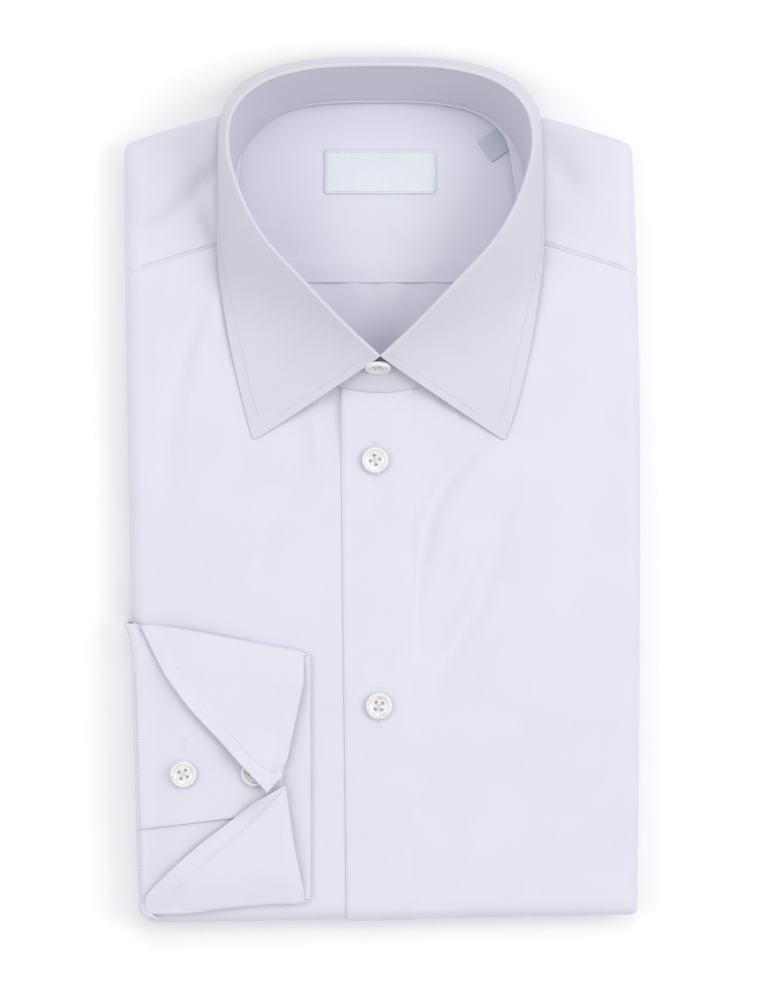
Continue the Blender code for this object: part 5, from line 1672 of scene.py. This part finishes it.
@dataclass
class Buttons:
    """The five shell buttons, turned with a raised rim and sewn through four holes."""

    maker: ClothMaker
    cuff: CuffAndSleeve
    front: tuple[tuple[Plan, float], ...] = ((FRONT_BUTTONS[0], 0.1), (FRONT_BUTTONS[1], 0.0))
    on_cuff: tuple[tuple[Plan, float], ...] = ((CUFF_BUTTONS[0], 0.35), (CUFF_BUTTONS[1], 0.6))
    seat: float = 0.35 * MM
    front_gap: float = 0.35 * MM
    cuff_gap: float = 0.1 * MM
    profile: tuple[tuple[float, float], ...] = (
        (0.0, 0.0),
        (3.0, 0.0),
        (4.9, 0.1),
        (5.45, 0.45),
        (5.68, 0.95),
        (5.68, 1.45),
        (5.5, 1.95),
        (5.15, 2.3),
        (4.75, 2.38),
        (4.4, 2.28),
        (4.15, 2.0),
        (3.85, 1.74),
        (3.6, 1.7),
        (3.4, 1.6),
        (2.6, 1.52),
        (0.0, 1.5),
    )
    hole_radius: float = 0.72 * MM
    hole_out: float = 1.38 * MM
    hole_floor: float = 0.3 * MM
    drill_length: float = 8.0 * MM
    thread_radius: float = 0.16 * MM
    shank_radius: float = 0.9 * MM
    collar_at: tuple[float, float, float] = (-1.9 * MM, 52.2 * MM, 33.0 * MM)
    collar_tilt: float = math.radians(72)

    def blank(self) -> bpy.types.Mesh:
        """Turns the button's profile and drills its four holes."""
        segments = 64
        bm = bmesh.new()
        rings = []
        for radius, height in self.profile[1:-1]:
            ring = []
            for i in range(segments):
                a = 2 * math.pi * i / segments
                ring.append(bm.verts.new((radius * MM * math.cos(a), radius * MM * math.sin(a), height * MM)))
            rings.append(ring)
        for low, high in zip(rings, rings[1:]):
            for i in range(segments):
                j = (i + 1) % segments
                bm.faces.new((low[i], low[j], high[j], high[i]))
        bm.faces.new(rings[0][::-1])
        bm.faces.new(rings[-1])
        obj = placed("button_blank", mesh_of(bm, "button_blank"))
        bm = bmesh.new()
        for x in (-1, 1):
            for y in (-1, 1):
                height = self.hole_floor + self.drill_length / 2
                spot = Matrix.Translation((x * self.hole_out, y * self.hole_out, height))
                self.rod(bm, 16, self.hole_radius, self.drill_length, spot)
        drill = placed("drill", mesh_of(bm, "drill"))
        cut = obj.modifiers.new("holes", "BOOLEAN")
        cut.object = drill
        graph = bpy.context.evaluated_depsgraph_get()
        made = bpy.data.meshes.new_from_object(obj.evaluated_get(graph))
        # The faces of the holes' walls take the second slot, the near-black painted shade.
        for face in made.polygons:
            x, y, z = face.center
            off = math.hypot(abs(x) - self.hole_out, abs(y) - self.hole_out)
            if off < 1.02 * self.hole_radius and z < 1.3 * MM:
                face.material_index = 1
        bpy.data.objects.remove(obj)
        bpy.data.objects.remove(drill)
        return made

    @staticmethod
    def rod(bm: bmesh.types.BMesh, segments: int, radius: float, length: float, spot: Matrix) -> None:
        """Adds a closed round rod."""
        bmesh.ops.create_cone(
            bm, cap_ends=True, segments=segments, radius1=radius, radius2=radius, depth=length, matrix=spot
        )

    def threads(self) -> bpy.types.Mesh:
        """The threads that cross between the holes, and the shank under the button."""
        bm = bmesh.new()
        out, top = self.hole_out, 1.75 * MM
        for sign in (-1, 1):
            for across in (-0.18 * MM, 0.18 * MM):
                ends = (Vector((-out, -out * sign, 0.7 * MM)), Vector((out, out * sign, 0.7 * MM)))
                shift = Vector((across * -sign, across, 0.0)) if sign > 0 else Vector((across, across, 0.0))
                previous = None
                for t in np.linspace(0, 1, 13):
                    arch = top + 0.05 * MM * sign - (top - ends[0].z) * abs(2 * t - 1) ** 8
                    centre = ends[0].lerp(ends[1], t) + shift
                    centre.z = arch
                    side = (ends[1] - ends[0]).normalized().cross(Vector((0, 0, 1)))
                    ring = []
                    for a in np.linspace(0, 2 * math.pi, 7)[:-1]:
                        out_of_middle = side * math.cos(a) + Vector((0, 0, math.sin(a)))
                        ring.append(bm.verts.new(centre + out_of_middle * self.thread_radius))
                    if previous:
                        for i in range(6):
                            bm.faces.new((previous[i], previous[(i + 1) % 6], ring[(i + 1) % 6], ring[i]))
                    else:
                        bm.faces.new(ring)
                    previous = ring
                bm.faces.new(previous[::-1])
        spot = Matrix.Translation((0, 0, 0.05 * MM))
        self.rod(bm, 12, self.shank_radius, 0.7 * MM, spot)
        bmesh.ops.recalc_face_normals(bm, faces=bm.faces)
        return mesh_of(bm, "button_threads")

    def seats(self) -> list[tuple[str, Array, Array, float]]:
        """Each button's node, seat point, direction and turn."""
        on_front = PACK.stand_rise + self.front_gap
        rows = [(f"front_button_{i}", at, turn, on_front) for i, (at, turn) in enumerate(self.front, 1)]
        for i, (at, turn) in enumerate(self.on_cuff, 1):
            pressed = float(self.cuff.flattened(np.array(at[0]))) * self.cuff.near_flatten
            rows.append((f"cuff_button_{i}", at, turn, self.cuff.near_lift + self.cuff_gap - pressed))
        found = []
        for name, at, turn, lift in rows:
            x, y = np.array(at)[:, None]
            normal = normals_of(PACK.surface, *PACK.along_cloth(x, y))[0]
            found.append((name, PACK.on_top(x, y, lift)[0], normal, turn))
        normal = np.array([0.0, -math.sin(self.collar_tilt), math.cos(self.collar_tilt)])
        found.append(("collar_button", np.array(self.collar_at), normal, 0.2))
        return found

    def build(self) -> None:
        """Makes the five buttons and their threads."""
        blank, threads = self.blank(), self.threads()
        for name, point, normal, turn in self.seats():
            out = Vector(normal).normalized()
            place = (
                Matrix.Translation(Vector(point) + out * self.seat)
                @ out.to_track_quat("Z", "Y").to_matrix().to_4x4()
                @ Matrix.Rotation(turn, 4, "Z")
            )
            for suffix, source, material, nodes in (
                ("_shell", blank, self.maker.wardrobe.shell, [name]),
                ("_thread", threads, self.maker.wardrobe.thread, []),
            ):
                mesh = source.copy()
                mesh.transform(place)
                mesh.materials.clear()
                mesh.materials.append(material)
                if nodes:
                    # Its second slot is the painted shade of the holes' walls.
                    mesh.materials.append(self.maker.wardrobe.hole_painted_shade)
                mesh.shade_smooth()
                if suffix == "_shell":
                    mesh.set_sharp_from_angle(angle=math.radians(35))
                obj = placed(name + suffix, mesh)
                self.maker.declare(obj, Slot.SHELL if nodes else Slot.POPLIN, nodes)


@dataclass
class Studio:
    """The pale floor, the soft lights and the camera at the photograph's angle."""

    wardrobe: Wardrobe
    floor_half: float = 1.2
    camera_at: tuple[float, float, float] = (0.65 * MM, -4.65 * MM, 1.5)
    lens: float = 125.6
    light_size: float = 0.8
    lights: tuple[tuple[str, tuple[float, float, float], float], ...] = (
        ("right_light", (1.0, 0.1, 1.3), 7.2),
        ("left_light", (-1.0, 0.1, 1.3), 3.8),
        ("top_light", (0.1, 0.9, 1.6), 4.5),
    )
    sky: float = 0.70

    def floor(self) -> None:
        """Lays the floor just under the shirt."""
        bm = bmesh.new()
        bmesh.ops.create_grid(bm, x_segments=8, y_segments=8, size=self.floor_half)
        mesh = mesh_of(bm, "table_top")
        mesh.materials.append(self.wardrobe.floor)
        obj = placed("table_top", mesh)

    def light(self, name: str, place: tuple[float, float, float], power: float) -> None:
        """Hangs one square soft light that looks at the shirt."""
        data = bpy.data.lights.new(name, "AREA")
        data.size = self.light_size
        data.energy = power
        obj = placed(name, data)
        obj.location = place
        obj.rotation_mode = "QUATERNION"
        obj.rotation_quaternion = (-Vector(place)).to_track_quat("-Z", "Y")

    def build(self) -> None:
        """Sets up the floor, the lights, the world and the camera."""
        self.floor()
        for name, place, power in self.lights:
            self.light(name, place, power)
        world = bpy.data.worlds.new("studio")
        world.use_nodes = True
        sky = world.node_tree.nodes["Background"]
        sky.inputs["Color"].default_value = (1.0, 1.0, 1.0, 1.0)
        sky.inputs["Strength"].default_value = self.sky
        bpy.context.scene.world = world
        bpy.context.scene.view_settings.view_transform = "Standard"
        data = bpy.data.cameras.new("camera")
        data.sensor_width = 36.0
        data.lens = self.lens
        camera = placed("camera", data)
        camera.location = self.camera_at
        bpy.context.scene.camera = camera


def main() -> None:
    """Builds the shirt piece by piece around the frame."""
    logging.basicConfig(level=logging.INFO, format="%(name)s: %(message)s")
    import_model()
    wardrobe = Wardrobe()
    maker, thread = ClothMaker(wardrobe), StitchTree()
    Studio(wardrobe).build()
    HiddenLayers(maker).build()
    Fronts(maker, thread).build()
    YokeAndNeck(maker, thread).build()
    Collar(maker, thread).build()
    cuff = CuffAndSleeve(maker, thread)
    cuff.build()
    Buttons(maker, cuff).build()


if __name__ == "__main__":
    main()
